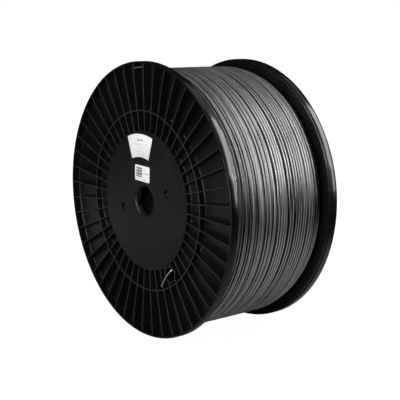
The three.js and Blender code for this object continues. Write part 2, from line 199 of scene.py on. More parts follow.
class Graph:
    """A material's or the world's node tree, built from an empty one."""

    def __init__(self, tree: bpy.types.NodeTree) -> None:
        """Empties the tree.

        Args:
            tree: The node tree to build in.
        """
        tree.nodes.clear()
        self.tree = tree

    def node(self, kind: str, settings: dict | None = None, inputs: dict | None = None) -> bpy.types.Node:
        """Adds a node, sets it and feeds it.

        Args:
            kind: The node's type.
            settings: Attributes of the node, set before its inputs.
            inputs: Values, or signals to link, by the input's name or number.

        Returns:
            The node.
        """
        node = self.tree.nodes.new(kind)
        for name, value in (settings or {}).items():
            setattr(node, name, value)
        for key, value in (inputs or {}).items():
            if isinstance(value, Signal):
                self.tree.links.new(value.socket, node.inputs[key])
            else:
                node.inputs[key].default_value = value
        return node

    def add(
        self, kind: str, settings: dict | None = None, inputs: dict | None = None, output: int | str = 0
    ) -> Signal:
        """Adds a node as node() does, and gives one of its outputs.

        Args:
            kind: The node's type.
            settings: Attributes of the node.
            inputs: Values, or signals to link.
            output: The output's name or number.

        Returns:
            That output.
        """
        return Signal(self, self.node(kind, settings, inputs).outputs[output])

    def place(self) -> Signal:
        """The point on the surface, in metres in the spool's own frame."""
        return self.add("ShaderNodeTexCoord", output="Object")

    def parts(self, vector: Signal) -> list[Signal]:
        """A vector's x, y and z."""
        node = self.node("ShaderNodeSeparateXYZ", inputs={0: vector})
        return [Signal(self, output) for output in node.outputs]

    def vector(self, x: Value, y: Value, z: Value) -> Signal:
        """Joins three values into a vector."""
        return self.add("ShaderNodeCombineXYZ", inputs={0: x, 1: y, 2: z})

    def finish(self, **surface: Value | Colour) -> None:
        """Ends the tree in a Principled shader.

        Args:
            surface: The shader's inputs, with an underscore for each space in their names.
        """
        inputs = {name.replace("_", " "): value for name, value in surface.items()}
        shader = self.add("ShaderNodeBsdfPrincipled", inputs=inputs)
        self.node("ShaderNodeOutputMaterial", inputs={"Surface": shader})


def new_material(name: str) -> tuple[bpy.types.Material, Graph]:
    """Makes a material.

    Args:
        name: The material's name.

    Returns:
        The material and its empty graph.
    """
    material = bpy.data.materials.new(name)
    material.use_nodes = True
    return material, Graph(material.node_tree)


def grey(level: float, tint: tuple[float, float, float] = (1.0, 1.0, 1.0)) -> Colour:
    """A grey with an optional tint.

    Args:
        level: The brightness, in linear light.
        tint: What each channel is multiplied by.

    Returns:
        The colour with full alpha.
    """
    return (level * tint[0], level * tint[1], level * tint[2], 1.0)


@dataclass(frozen=True)
class Texture:
    """Soft noise in a finish, and what it does to the surface.

    The size is that of its features in millimetres, and detail says how many finer layers are added.
    Stretch multiplies the place that it is read at. Shade and polish are its shares in the colour and the
    roughness, and depth and strength are those of its bump, with the depth in millimetres.
    """

    size: float
    detail: float
    stretch: tuple[float, float, float] | None = None
    shade: float = 0.0
    polish: float = 0.0
    depth: float = 0.0
    strength: float = 0.0

    def read(self, place: Signal) -> Signal:
        """Reads the noise.

        Args:
            place: Where to read it, in metres.

        Returns:
            A value round one half.
        """
        graph = place.graph
        if self.stretch is not None:
            place = graph.add("ShaderNodeVectorMath", {"operation": "MULTIPLY"}, {0: place, 1: self.stretch})
        inputs = {"Vector": place, "Scale": 1 / (self.size * MM), "Detail": self.detail}
        return graph.add("ShaderNodeTexNoise", inputs=inputs, output="Fac")

    def bend(self, height: Signal, under: Signal | None = None) -> Signal:
        """Turns the noise into a normal.

        Args:
            height: The noise as it was read.
            under: A normal to lay this bump over.

        Returns:
            The bent normal.
        """
        inputs = {"Strength": self.strength, "Distance": self.depth * MM, "Height": height}
        if under is not None:
            inputs["Normal"] = under
        return height.graph.add("ShaderNodeBump", inputs=inputs, output="Normal")


# ---- Finishes -----------------------------------------------------------------------------------


@dataclass(frozen=True)
class BlackMoulding:
    """Satin black plastic with a fine grain, rubbed where a spool is handled.

    Levels are those of a noise, between which a mark appears. Margins set a region off from the flange's
    own sizes, in millimetres. The rim's polish starts and is full that far inside its radius. The web,
    smoother and darkened by painted shade, starts that far in front of its surface and ends that far inside
    the rim's wall. The painted highlights on the front edges of the ribs and the ring start that far outside
    the hub's wall and end that far inside the rim's. The bore's painted light reaches that far past the
    collar and starts that far in front of the chamfer's end.
    """

    flange: Flange
    name: str = "black_moulding"
    dark: Colour = grey(0.003, (1.0, 1.01, 1.06))
    light: Colour = grey(0.007, (1.0, 1.01, 1.04))
    contrast: tuple[float, float] = (0.3, 0.7)
    roughness: float = 0.42
    specular: float = 0.42
    ior: float = 1.47
    flow: Texture = Texture(26.0, 3.0, (1.0, 3.0, 0.35), shade=0.6, polish=0.14, depth=0.05, strength=0.1)
    mottle: Texture = Texture(5.0, 3.0, shade=0.4, polish=0.1)
    grain: Texture = Texture(0.55, 2.0, depth=0.02, strength=0.35)
    scuffs: Texture = Texture(6.0, 4.0, (14.0, 14.0, 3.0), polish=0.12, depth=0.015, strength=0.2)
    rim_margins: tuple[float, float] = (5.0, 0.5)
    rim_polish: float = 0.24
    dust: Texture = Texture(0.9, 1.0, shade=0.5)
    dust_colour: Colour = grey(0.09)
    dust_levels: tuple[float, float] = (0.71, 0.76)
    web_margins: tuple[float, float] = (0.8, 1.5)
    web_painted_shade: float = 0.4
    web_polish: float = 0.12
    edge_highlight_colour: Colour = grey(0.021, (1.02, 1.0, 0.98))
    edge_highlight_depth: tuple[float, float] = (0.08, 0.32)
    edge_highlight_margins: tuple[float, float] = (0.3, 0.1)
    edge_highlight_share: tuple[float, float] = (0.6, 0.7)
    foot_glint_colour: Colour = grey(0.07)
    foot_glint_width: float = 1.2
    foot_glint_breaks: Texture = Texture(11.0, 2.0)
    foot_glint_levels: tuple[float, float] = (0.5, 0.6)
    bore_margins: tuple[float, float] = (0.6, 0.1)
    collar_painted_light: tuple[Colour, Colour] = (grey(0.015), grey(0.045))
    tube_painted_shade: Colour = grey(0.012)
    tube_shade_fade: float = 0.8

    def build(self) -> bpy.types.Material:
        """Builds the material: flow marks, a grain, circular scuffs, dust, the rubbed places of the rim,
        painted shade on the web, painted highlights on the edges and feet, and painted light in the bore.

        Returns:
            The material.
        """
        material, graph = new_material(self.name)
        place = graph.place()
        x, y, z = graph.parts(place)
        radius = (x * x + z * z).root()
        depth = self.flange.spool_width / 2 - abs(y) / MM
        deep = self._deep(depth, radius)

        flow = self.flow.read(place)
        mottle = self.mottle.read(place)
        shade = flow * self.flow.shade + mottle * self.mottle.shade
        colour = shade.rise(*self.contrast).blend(self.dark, self.light)
        # Painted shade: the recessed web is darkened toward black.
        colour = (deep * self.web_painted_shade).blend(colour, grey(0.0))
        # Painted light on the collar's wall, and painted shade deeper in the tube.
        colour = self._bore(depth, radius).blend(colour, self._bore_painted_light(depth, mottle))
        dust = self.dust.read(place).rise(*self.dust_levels) * self.dust.shade
        colour = dust.blend(colour, self.dust_colour)
        # Painted highlight along the front edges of the ribs and the ring.
        colour = self._edge_highlight(depth, radius, mottle).blend(colour, self.edge_highlight_colour)
        # Painted highlight: short broken glints at the feet of the hub's wall and the ring.
        colour = self._foot_glints(self.foot_glint_breaks.read(place), deep, radius).blend(colour, self.foot_glint_colour)

        scuffs = self.scuffs.read(graph.vector(radius, y, radius))
        rim_start, rim_end = [(self.flange.radius - margin) * MM for margin in self.rim_margins]
        rub = radius.rise(rim_start, rim_end)
        roughness = self.roughness + flow.swing(self.flow.polish) + mottle.swing(self.mottle.polish)
        roughness = roughness - rub * self.rim_polish + scuffs.swing(self.scuffs.polish) * rub
        roughness = roughness - deep * self.web_polish

        normal = self.grain.bend(self.grain.read(place))
        normal = self.flow.bend(flow, under=normal)
        normal = self.scuffs.bend(scuffs, under=normal)
        graph.finish(
            Base_Color=colour, Roughness=roughness, Normal=normal, Specular_IOR_Level=self.specular,
            IOR=self.ior)
        return material

    def _deep(self, depth: Signal, radius: Signal) -> Signal:
        """1 at the depth of the web, as far out as the rim's foot."""
        above, within = self.web_margins
        return (depth > self.flange.web_front - above) * (radius < (self.flange.rim_inner - within) * MM)

    def _edge_highlight(self, depth: Signal, radius: Signal, mottle: Signal) -> Signal:
        """Where the front edges of the ribs and the ring are painted paler, as a painted highlight.

        Args:
            depth: Millimetres in from the rims' front edges.
            radius: Metres from the spindle axis.
            mottle: Soft noise that makes the painted highlight uneven.

        Returns:
            How much painted highlight an edge has.
        """
        flange = self.flange
        fall = 1.0 - radius.rise(flange.hub_radius * MM, flange.level_radius * MM, Curve.EVEN)
        edge = flange.rib_recess + fall * (flange.hub_recess - flange.rib_recess)
        inner, outer = self.edge_highlight_margins
        ribbed = (radius > (flange.hub_radius + inner) * MM) * (radius < (flange.rim_inner - outer) * MM)
        least, spread = self.edge_highlight_share
        return (1.0 - (depth - edge).rise(*self.edge_highlight_depth)) * ribbed * (least + mottle * spread)

    def _bore(self, depth: Signal, radius: Signal) -> Signal:
        """Where the wall of the bore is, behind its chamfer.

        Args:
            depth: Millimetres in from the rims' front edges.
            radius: Metres from the spindle axis.

        Returns:
            1 on that wall, 0 elsewhere.
        """
        wide, early = self.bore_margins
        start = self.flange.hub_recess + self.flange.bore_chamfer - early
        return (radius < (self.flange.collar_outer + wide) * MM) * (depth > start)

    def _bore_painted_light(self, depth: Signal, mottle: Signal) -> Signal:
        """The bore's painted light: its collar is painted paler, and the tube behind it darker, as painted
        shade.

        Args:
            depth: Millimetres in from the rims' front edges.
            mottle: Soft noise that makes the painted light uneven.

        Returns:
            The colour.
        """
        collar = mottle.blend(*self.collar_painted_light)
        end = self.flange.collar_end
        return depth.rise(end, end + self.tube_shade_fade, Curve.EVEN).blend(collar, self.tube_painted_shade)

    def _foot_glints(self, breaks: Signal, deep: Signal, radius: Signal) -> Signal:
        """Where the feet of the hub's wall and of the ring get a painted highlight, in short broken lines.

        Args:
            breaks: Noise that breaks the lines up.
            deep: 1 at the depth of the web.
            radius: Metres from the spindle axis.

        Returns:
            How much painted highlight a foot has.
        """
        hub, ring = [
            (radius > foot * MM) * (radius < (foot + self.foot_glint_width) * MM)
            for foot in (self.flange.hub_radius, self.flange.ring_outer)]
        return (hub + ring) * deep * breaks.rise(*self.foot_glint_levels)


@dataclass(frozen=True)
class FilamentFinish:
    """Silver-grey filament with a metallic sheen, streaked along its length.

    Each turn of the winding has a tone of its own round 0, which its mesh carries: a random part, and
    painted shade where the turn sinks or lies in the lower layer. The streaks are read streak_spread times
    the radius further on, so that they differ from layer to layer.
    """

    name: str = "silver_filament"
    dark: Colour = grey(0.03, (0.98, 1.0, 1.03))
    light: Colour = grey(0.7, (1.0, 1.0, 0.99))
    middle_tone: float = 0.5
    metallic: float = 0.85
    roughness: float = 0.3
    streaks: Texture = Texture(4.0, 3.0, (0.05, 12.0, 0.05), shade=0.3, depth=0.06, strength=0.3)
    streak_spread: float = 40.0
    flakes: Texture = Texture(0.16, 2.0, shade=0.2, polish=0.2, depth=0.012, strength=0.15)
    patches: Texture = Texture(32.0, 2.0, (1.0, 4.0, 1.0), shade=0.2, polish=0.12)

    def build(self) -> bpy.types.Material:
        """Builds the material: long streaks, fine flakes, soft patches and a drawn surface.

        Returns:
            The material.
        """
        material, graph = new_material(self.name)
        place = graph.place()
        x, y, z = graph.parts(place)
        radius = (x * x + z * z).root()
        streaks = self.streaks.read(graph.vector(x, y, z + radius * self.streak_spread))
        flakes = self.flakes.read(place)
        patches = self.patches.read(place)
        # The turn's tone, with its painted shade on sunk turns and the lower layer.
        strand = graph.add("ShaderNodeAttribute", {"attribute_name": STRAND_TONE_AND_SHADE}, output="Fac")
        tone = self.middle_tone + strand + streaks.swing(self.streaks.shade) + flakes.swing(self.flakes.shade)
        tone = tone + patches.swing(self.patches.shade)
        roughness = self.roughness + flakes.swing(self.flakes.polish) + patches.swing(self.patches.polish)
        normal = self.streaks.bend(streaks, under=self.flakes.bend(flakes))
        graph.finish(
            Base_Color=tone.blend(self.dark, self.light), Roughness=roughness, Metallic=self.metallic,
            Normal=normal)
        return material


@dataclass(frozen=True)
class PrintedBar:
    """A bar of plain grey print on a label, in millimetres from the label's own middle."""

    x: float
    z: float
    width: float
    height: float
    ink: float


@dataclass(frozen=True)
class PrintedLabel:
    """White label paper with plain bars of print where a label has its lines.

    The bars are broken where the noise of words is under word_level, and each bar reads it word_shift
    further on for every millimetre up the label.
    """

    name: str
    middle: tuple[float, float]
    tilt: float
    bars: tuple[PrintedBar, ...]
    grid: PrintedBar | None = None
    grid_pitch: float = 1.9
    paper: tuple[Colour, Colour] = (grey(0.8827, (1.0, 1.0, 0.985)), grey(0.9373))
    ink: Colour = grey(0.05, (1.0, 1.0, 1.02))
    roughness: float = 0.42
    specular: float = 0.4
    fibres: Texture = Texture(0.35, 3.0, shade=0.5, polish=0.2, depth=0.02, strength=0.3)
    waves: Texture = Texture(9.0, 2.0, shade=0.5, depth=0.25, strength=0.3)
    words: Texture = Texture(1.7, 1.0)
    word_shift: float = 0.37
    word_level: float = 0.46

    def build(self) -> bpy.types.Material:
        """Builds the material: paper fibres under the bars of print.

        Returns:
            The material.
        """
        material, graph = new_material(self.name)
        place = graph.place()
        along, up = self._axes(place)
        marks = [self._bar(along, up, bar) for bar in self.bars]
        if self.grid is not None:
            marks.append(self._grid(along, up, self.grid))
        fibres = self.fibres.read(place)
        waves = self.waves.read(place)
        paper = (fibres * self.fibres.shade + waves * self.waves.shade).blend(*self.paper)
        graph.finish(
            Base_Color=reduce(Signal.larger, marks).blend(paper, self.ink),
            Roughness=self.roughness + fibres * self.fibres.polish,
            Normal=self.waves.bend(waves, under=self.fibres.bend(fibres)),
            Specular_IOR_Level=self.specular)
        return material

    def _axes(self, place: Signal) -> tuple[Signal, Signal]:
        """The label's own axes.

        Args:
            place: The point on the surface.

        Returns:
            Millimetres along the label and up it.
        """
        x, _, z = place.graph.parts(place)
        x = x / MM - self.middle[0]
        z = z / MM - self.middle[1]
        cosine = math.cos(self.tilt)
        sine = math.sin(self.tilt)
        return x * cosine + z * sine, z * cosine - x * sine

    def _inside(self, along: Signal, up: Signal, bar: PrintedBar) -> Signal:
        """1 inside the outline of a bar."""
        return (abs(along - bar.x) < bar.width / 2) * (abs(up - bar.z) < bar.height / 2)

    def _bar(self, along: Signal, up: Signal, bar: PrintedBar) -> Signal:
        """One bar of print, broken into word lengths.

        Args:
            along: Millimetres along the label.
            up: Millimetres up the label.
            bar: The bar.

        Returns:
            How much ink lies there.
        """
        words = self.words.read(along.graph.vector(along * MM, bar.z * self.word_shift, 0.0))
        return self._inside(along, up, bar) * (words > self.word_level) * bar.ink

    def _grid(self, along: Signal, up: Signal, grid: PrintedBar) -> Signal:
        """A plain block of print with small pale squares in it.

        Args:
            along: Millimetres along the label.
            up: Millimetres up the label.
            grid: The block.

        Returns:
            How much ink lies there.
        """
        pitch = 2 * self.grid_pitch
        column, row = [(axis / pitch).fraction() < 0.5 for axis in (along, up)]
        return self._inside(along, up, grid) * (1.0 - column * row) * grid.ink


# ---- Mesh toolkit -------------------------------------------------------------------------------

SHARP_ANGLE = 40.0
NEVER_SHARP = 180.0


@dataclass
class MeshDraft:
    """Points in millimetres and faces, gathered before they become a mesh."""

    points: list[Vector] = field(default_factory=list)
    faces: list[tuple[int, ...]] = field(default_factory=list)

    def add_rings(self, rings: Sequence[Sequence[Vector]], closed: bool = False) -> MeshDraft:
        """Joins rings of as many points each into a skin, capped at both ends unless it closes.

        Args:
            rings: The rings, in order. Seen from the end, each runs anticlockwise.
            closed: Whether the last ring joins the first.

        Returns:
            The draft itself.
        """
        start = len(self.points)
        count = len(rings)
        sides = len(rings[0])
        for ring in rings:
            self.points.extend(ring)
        for number in range(count if closed else count - 1):
            here = start + number * sides
            ahead = start + ((number + 1) % count) * sides
            for side in range(sides):
                beside = (side + 1) % sides
                self.faces.append((here + side, here + beside, ahead + beside, ahead + side))
        if not closed:
            self.faces.append(tuple(range(start + sides - 1, start - 1, -1)))
            last = start + (count - 1) * sides
            self.faces.append(tuple(range(last, last + sides)))
        return self

    def build(
        self, name: str, material: bpy.types.Material | None = None, sharp: float = SHARP_ANGLE
    ) -> bpy.types.Object:
        """Makes the mesh, smooth but for its sharp edges.

        Args:
            name: The piece's name.
            material: Its material, left out for a cutter.
            sharp: The angle in degrees from which an edge is sharp.

        Returns:
            The piece, linked into the scene.
        """
        mesh = bpy.data.meshes.new(name)
        mesh.from_pydata([point * MM for point in self.points], [], self.faces)
        mesh.validate()
        piece = bpy.data.objects.new(name, mesh)
        bpy.context.scene.collection.objects.link(piece)
        if material is not None:
            dress(piece, material, sharp)
        return piece


def dress(piece: bpy.types.Object, material: bpy.types.Material, sharp: float = SHARP_ANGLE) -> None:
    """Gives a piece its one material and smooth shading with sharp edges.

    Args:
        piece: The piece.
        material: Its material.
        sharp: The angle in degrees from which an edge is sharp.
    """
    piece.data.materials.clear()
    piece.data.materials.append(material)
    piece.data.shade_smooth()
    piece.data.set_sharp_from_angle(angle=math.radians(sharp))


def on_face(radius: float, angle: float, depth: float = 0.0) -> Vector:
    """A point of a flange, with its depth from the flange's front edge.

    Args:
        radius: Millimetres from the spindle axis.
        angle: The angle from +X toward +Z.
        depth: Millimetres along +Y.

    Returns:
        The point.
    """
    return Vector((radius * math.cos(angle), depth, radius * math.sin(angle)))


def beside_ray(angle: float, radius: float, offset: float, depth: float) -> Vector:
    """A point beside a ray that leaves the spindle axis square to it.

    Args:
        angle: The ray's angle from +X toward +Z.
        radius: Millimetres along the ray.
        offset: Millimetres to the side of it.
        depth: Millimetres along +Y.

    Returns:
        The point.
    """
    out = on_face(1.0, angle)
    across = on_face(1.0, angle + math.pi / 2)
    return out * radius + across * offset + Vector((0, depth, 0))


def rounded(corners: Sequence[tuple[float, float, float]], steps: int = 3) -> Outline:
    """Rounds the corners of a closed outline.

    Args:
        corners: Each corner's radius, depth and rounding.
        steps: How many chords each rounding has.

    Returns:
        The outline's points.
    """
    outline: Outline = []
    count = len(corners)
    for number, (radius, depth, rounding) in enumerate(corners):
        corner = Vector((radius, depth))
        if rounding == 0:
            outline.append((radius, depth))
            continue
        before = Vector(corners[number - 1][:2]) - corner
        after = Vector(corners[(number + 1) % count][:2]) - corner
        reach = rounding / math.tan(before.angle(after) / 2)
        start = corner + before.normalized() * reach
        end = corner + after.normalized() * reach
        for step in range(steps + 1):
            share = step / steps
            point = start * (1 - share) ** 2 + corner * 2 * share * (1 - share) + end * share**2
            outline.append((point.x, point.y))
    return outline


def turned_rings(outline: Outline, segments: int, centre: Vector) -> list[list[Vector]]:
    """Copies of an outline round an axis along Y.

    Args:
        outline: Its points as radius and depth, anticlockwise.
        segments: How many steps the turn has.
        centre: A point on the axis.

    Returns:
        One ring of points for each step.
    """
    angles = [-FULL_TURN * (segment + 0.5) / segments for segment in range(segments)]
    return [[centre + on_face(radius, angle, depth) for radius, depth in outline] for angle in angles]


def turned(outline: Outline, segments: int, centre: Vector | None = None) -> MeshDraft:
    """Turns a closed outline round an axis along Y.

    Args:
        outline: Its points as radius and depth, anticlockwise.
        segments: How many steps the turn has.
        centre: A point on the axis, the spindle's where it is left out.

    Returns:
        The draft of the solid.
    """
    return MeshDraft().add_rings(turned_rings(outline, segments, centre or Vector()), closed=True)


def smooth_path(points: Sequence[Vector], step: float) -> list[Vector]:
    """Runs a smooth curve through points.

    Args:
        points: The points that it passes.
        step: The distance between the points of the result.

    Returns:
        Points along the curve.
    """
    ends = [points[0] * 2 - points[1], *points, points[-1] * 2 - points[-2]]
    path: list[Vector] = []
    for number in range(1, len(ends) - 2):
        p0, p1, p2, p3 = ends[number - 1:number + 3]
        count = max(2, round((p2 - p1).length / step))
        for part in range(count):
            t = part / count
            path.append(0.5 * (
                2 * p1 + (p2 - p0) * t + (2 * p0 - 5 * p1 + 4 * p2 - p3) * t**2
                + (3 * p1 - p0 - 3 * p2 + p3) * t**3))
    path.append(points[-1].copy())
    return path


def tube_rings(path: Sequence[Vector], radius: float, sides: int, across: Vector) -> list[list[Vector]]:
    """Rings of a tube along a path.

    Args:
        path: The tube's middle line.
        radius: Its radius.
        sides: How many sides it has.
        across: A direction that is never along the path.

    Returns:
        The rings, ready for a skin.
    """
    turns = [(math.cos(FULL_TURN * k / sides), math.sin(FULL_TURN * k / sides)) for k in range(sides)]
    rings = []
    for number, point in enumerate(path):
        before = path[max(number - 1, 0)]
        after = path[min(number + 1, len(path) - 1)]
        along = (after - before).normalized()
        side = along.cross(across).normalized()
        up = side.cross(along)
        rings.append([point + radius * (side * cosine + up * sine) for cosine, sine in turns])
    return rings


def rounded_tube(path: Sequence[Vector], radius: float, sides: int, across: Vector) -> MeshDraft:
    """A tube whose two ends narrow a little past the path's own ends.

    Args:
        path: The tube's middle line.
        radius: Its radius.
        sides: How many sides it has.
        across: A direction that is never along the path.

    Returns:
        The draft of the tube.
    """
    reach = 0.25
    narrow = 0.75
    rings = tube_rings(path, radius, sides, across)
    caps = []
    for ring, point, inner in ((rings[0], path[0], path[1]), (rings[-1], path[-1], path[-2])):
        outward = (point - inner).normalized() * radius * reach
        caps.append([point + (corner - point) * narrow + outward for corner in ring])
    return MeshDraft().add_rings([caps[0], *rings, caps[1]])


def cut(piece: bpy.types.Object, cutters: Sequence[bpy.types.Object]) -> None:
    """Cuts shapes out of a piece and removes the cutters.

    Args:
        piece: The piece.
        cutters: The closed shapes to take out of it.
    """
    for cutter in cutters:
        modifier = piece.modifiers.new(cutter.name, "BOOLEAN")
        modifier.operation = "DIFFERENCE"
        modifier.solver = "EXACT"
        modifier.object = cutter
    evaluated = piece.evaluated_get(bpy.context.evaluated_depsgraph_get())
    mesh = bpy.data.meshes.new_from_object(evaluated)
    mesh.name = piece.name
    piece.modifiers.clear()
    piece.data = mesh
    for cutter in cutters:
        bpy.data.objects.remove(cutter)


class Side(Enum):
    """Which flange a piece belongs to, with the turn about Z that puts it there."""

    FRONT = 0.0
    REAR = math.pi

    @property
    def word(self) -> str:
        """The side's name, as the nodes write it."""
        return self.name.lower()


def settle(piece: bpy.types.Object, node: str) -> None:
    """Makes a piece ride on the spool, and hides the solid that it stands for.

    Args:
        piece: The piece.
        node: The solid that it replaces.
    """
    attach(piece, BODY)
    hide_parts(node)
    log.info("%s: %d faces", piece.name, len(piece.data.polygons))


# ---- Flanges ------------------------------------------------------------------------------------


@dataclass
class Flange:
    """One moulded flange: its turned shell, its ribs, its filament well and its drive cups.

    Depths are measured in from the front edge of the rim. The face is dished: the ribs are level near
    the rim and fall toward the hub disc. Names that end in edge or foot are roundings. Cutters reach past
    what they cut by overshoot, and parts are sunk a little under each other's surfaces.
    """

    radius: float
    spool_width: float
    thickness: float = 12.0
    rim_width: float = 9.0
    rim_wall: float = 2.5
    rim_step: float = 1.5
    web: float = 1.7
    hub_recess: float = 2.7
    rib_recess: float = 0.3
    rib_level_length: float = 19.0
    ring_radius: float = 116.0
    ring_thickness: float = 1.7
    ring_set_back: float = 0.08
    hub_radius: float = 90.1
    hub_thickness: float = 3.0
    hub_wall: float = 3.0
    bore_radius: float = 19.0
    bore_chamfer: float = 1.5
    collar_length: float = 8.0
    collar_wall: float = 3.0
    slot_angle: float = math.radians(196.1)
    slot_width: float = 5.0
    slot_depth: float = 1.8
    rib_count: int = 48
    rib_thickness: float = 1.3
    rib_draft: float = 0.3
    rib_start: float = math.radians(4.9)
    rib_overlaps: tuple[float, float] = (0.6, 0.8)
    well_radius: float = 9.5
    well_wall: float = 1.5
    well_recess: float = 2.0
    well_place: tuple[float, float] = (102.0, math.radians(-58.5))
    drive_radius: float = 5.6
    drive_depth: float = 4.2
    drive_chamfer: float = 0.3
    drive_place: tuple[float, float] = (51.0, math.radians(16.1))
    cup_wall: float = 1.5
    cup_overlap: float = 1.2
    cup_pinhole: float = 0.05
    end_hole_radius: float = 1.6
    end_hole_place: tuple[float, float] = (170.4, math.radians(92.4))
    spigot_radius: float = 115.7
    spigot_wall: float = 2.0
    spigot_height: float = 5.0
    fine_edge: float = 0.3
    front_edge: float = 0.35
    back_edge: float = 0.4
    soft_edge: float = 0.5
    rim_edge: float = 0.55
    inner_foot: float = 0.6
    web_foot: float = 0.7
    rim_foot: float = 1.3
    segments: int = 288
    small_segments: int = 64
    cutter_segments: int = 48
    sunk: float = 0.04
    overshoot: float = 1.0

    @property
    def rim_inner(self) -> float:
        """The radius of the rim's inner wall."""
        return self.radius - self.rim_wall

    @property
    def level_radius(self) -> float:
        """The radius from which the ribs' front edges are level."""
        return self.rim_inner - self.rib_level_length

    @property
    def ring_outer(self) -> float:
        """The outer radius of the ring rib."""
        return self.ring_radius + self.ring_thickness / 2

    @property
    def web_front(self) -> float:
        """The depth of the web's front."""
        return self.thickness - self.web

    @property
    def collar_outer(self) -> float:
        """The outer radius of the bore's collar."""
        return self.bore_radius + self.collar_wall

    @property
    def collar_end(self) -> float:
        """The depth of the collar's far end."""
        return self.hub_recess + self.collar_length

    def face_recess(self, radius: float) -> float:
        """How far the ribs' front edges lie behind the rim's at a radius."""
        share = min(1.0, max(0.0, (radius - self.hub_radius) / (self.level_radius - self.hub_radius)))
        return self.hub_recess + (self.rib_recess - self.hub_recess) * share

    def build(self, side: Side, material: bpy.types.Material) -> None:
        """Builds the flange's four pieces and puts them in place.

        Args:
            side: Which flange to build.
            material: Its material.
        """
        name = f"{side.word}_flange"
        pieces = (
            self._shell(f"{name}_shell", material, side is Side.FRONT),
            self._ribs(f"{name}_ribs", material),
            self._well(f"{name}_well", material),
            self._cups(f"{name}_cups", material))
        place = Matrix.Rotation(side.value, 4, "Z") @ Matrix.Translation((0, -self.spool_width / 2 * MM, 0))
        for piece in pieces:
            piece.data.transform(place)
            settle(piece, name)

    def _shell(self, name: str, material: bpy.types.Material, with_end_hole: bool) -> bpy.types.Object:
        """The turned part with its holes: rim, web, ring, hub disc, collar and spigot.

        Args:
            name: The piece's name.
            material: Its material.
            with_end_hole: Whether the small hole near the rim is cut.

        Returns:
            The shell.
        """
        floor = self.web_front
        web_edge = self.radius - self.rim_step
        ring_inner = self.ring_radius - self.ring_thickness / 2
        ring_front = self.face_recess(ring_inner) + self.ring_set_back
        hub_back = self.hub_recess + self.hub_thickness
        hub_inner = self.hub_radius - self.hub_wall
        spigot_inner = self.spigot_radius - self.spigot_wall
        spigot_end = self.thickness + self.spigot_height
        outline = rounded([
            (self.bore_radius + self.bore_chamfer, self.hub_recess, self.fine_edge),
            (self.hub_radius, self.hub_recess, self.front_edge),
            (self.hub_radius, floor, self.web_foot),
            (ring_inner, floor, self.web_foot),
            (ring_inner, ring_front, self.front_edge),
            (self.ring_outer, ring_front, self.front_edge),
            (self.ring_outer, floor, self.web_foot),
            (self.rim_inner, floor, self.rim_foot),
            (self.rim_inner, 0.0, self.front_edge),
            (self.radius, 0.0, self.rim_edge),
            (self.radius, self.rim_width, self.front_edge),
            (web_edge, self.rim_width, self.fine_edge),
            (web_edge, self.thickness, self.back_edge),
            (self.spigot_radius, self.thickness, self.back_edge),
            (self.spigot_radius, spigot_end, self.fine_edge),
            (spigot_inner, spigot_end, self.fine_edge),
            (spigot_inner, self.thickness, self.back_edge),
            (hub_inner, self.thickness, self.back_edge),
            (hub_inner, hub_back, self.inner_foot),
            (self.collar_outer, hub_back, self.soft_edge),
            (self.collar_outer, self.collar_end, self.back_edge),
            (self.bore_radius, self.collar_end, self.back_edge),
            (self.bore_radius, self.hub_recess + self.bore_chamfer, self.back_edge),
        ])
        shell = turned(outline, self.segments).build(name, material)
        web = (floor - self.overshoot, self.thickness + self.overshoot)
        well_bore = self._drill("well_bore", self.well_place, self.well_radius, web)
        cutters = [*self._drive_holes(), well_bore, self._collar_slot()]
        if with_end_hole:
            cutters.append(self._drill("end_hole", self.end_hole_place, self.end_hole_radius, web))
        cut(shell, cutters)
        dress(shell, material)
        return shell

    def _drive_centres(self) -> list[Vector]:
        """Where the two drive holes are."""
        return [on_face(self.drive_place[0], self.drive_place[1] + turn) for turn in (0.0, math.pi)]

    def _drive_holes(self) -> list[bpy.types.Object]:
        """The cutters of the two drive holes, each with its chamfer."""
        outline = [
            (self.drive_radius + self.drive_chamfer + self.overshoot, self.hub_recess - self.overshoot),
            (self.drive_radius, self.hub_recess + self.drive_chamfer),
            (self.drive_radius, self.hub_recess + self.hub_thickness + self.overshoot)]
        return [self._cutter("drive_hole", outline, centre) for centre in self._drive_centres()]

    def _drill(
        self, name: str, place: tuple[float, float], radius: float, depths: tuple[float, float]
    ) -> bpy.types.Object:
        """A plain round cutter.

        Args:
            name: The cutter's name.
            place: The radius and the angle at which its axis stands on the face.
            radius: Its own radius.
            depths: Where it starts and ends.

        Returns:
            The cutter.
        """
        return self._cutter(name, [(radius, depth) for depth in depths], on_face(*place))

    def _cutter(self, name: str, outline: Outline, centre: Vector) -> bpy.types.Object:
        """A round cutter, flat at both ends.

        Args:
            name: The cutter's name.
            outline: Its radius and depth, from the front to the back.
            centre: The point of the flange's face that its axis passes.

        Returns:
            The cutter.
        """
        sides = self.cutter_segments
        rings = [
            [centre + on_face(radius, -FULL_TURN * k / sides, depth) for k in range(sides)]
            for radius, depth in outline]
        return MeshDraft().add_rings(rings).build(name)

    def _collar_slot(self) -> bpy.types.Object:
        """The cutter of the keyway inside the collar."""
        inner = self.bore_radius - self.overshoot
        outer = self.bore_radius + self.slot_depth
        half = self.slot_width / 2
        corners = ((inner, -half), (inner, half), (outer, half), (outer, -half))
        rings = [
            [beside_ray(self.slot_angle, radius, offset, depth) for radius, offset in corners]
            for depth in (self.hub_recess + self.hub_thickness, self.collar_end + self.overshoot)]
        return MeshDraft().add_rings(rings).build("collar_slot")

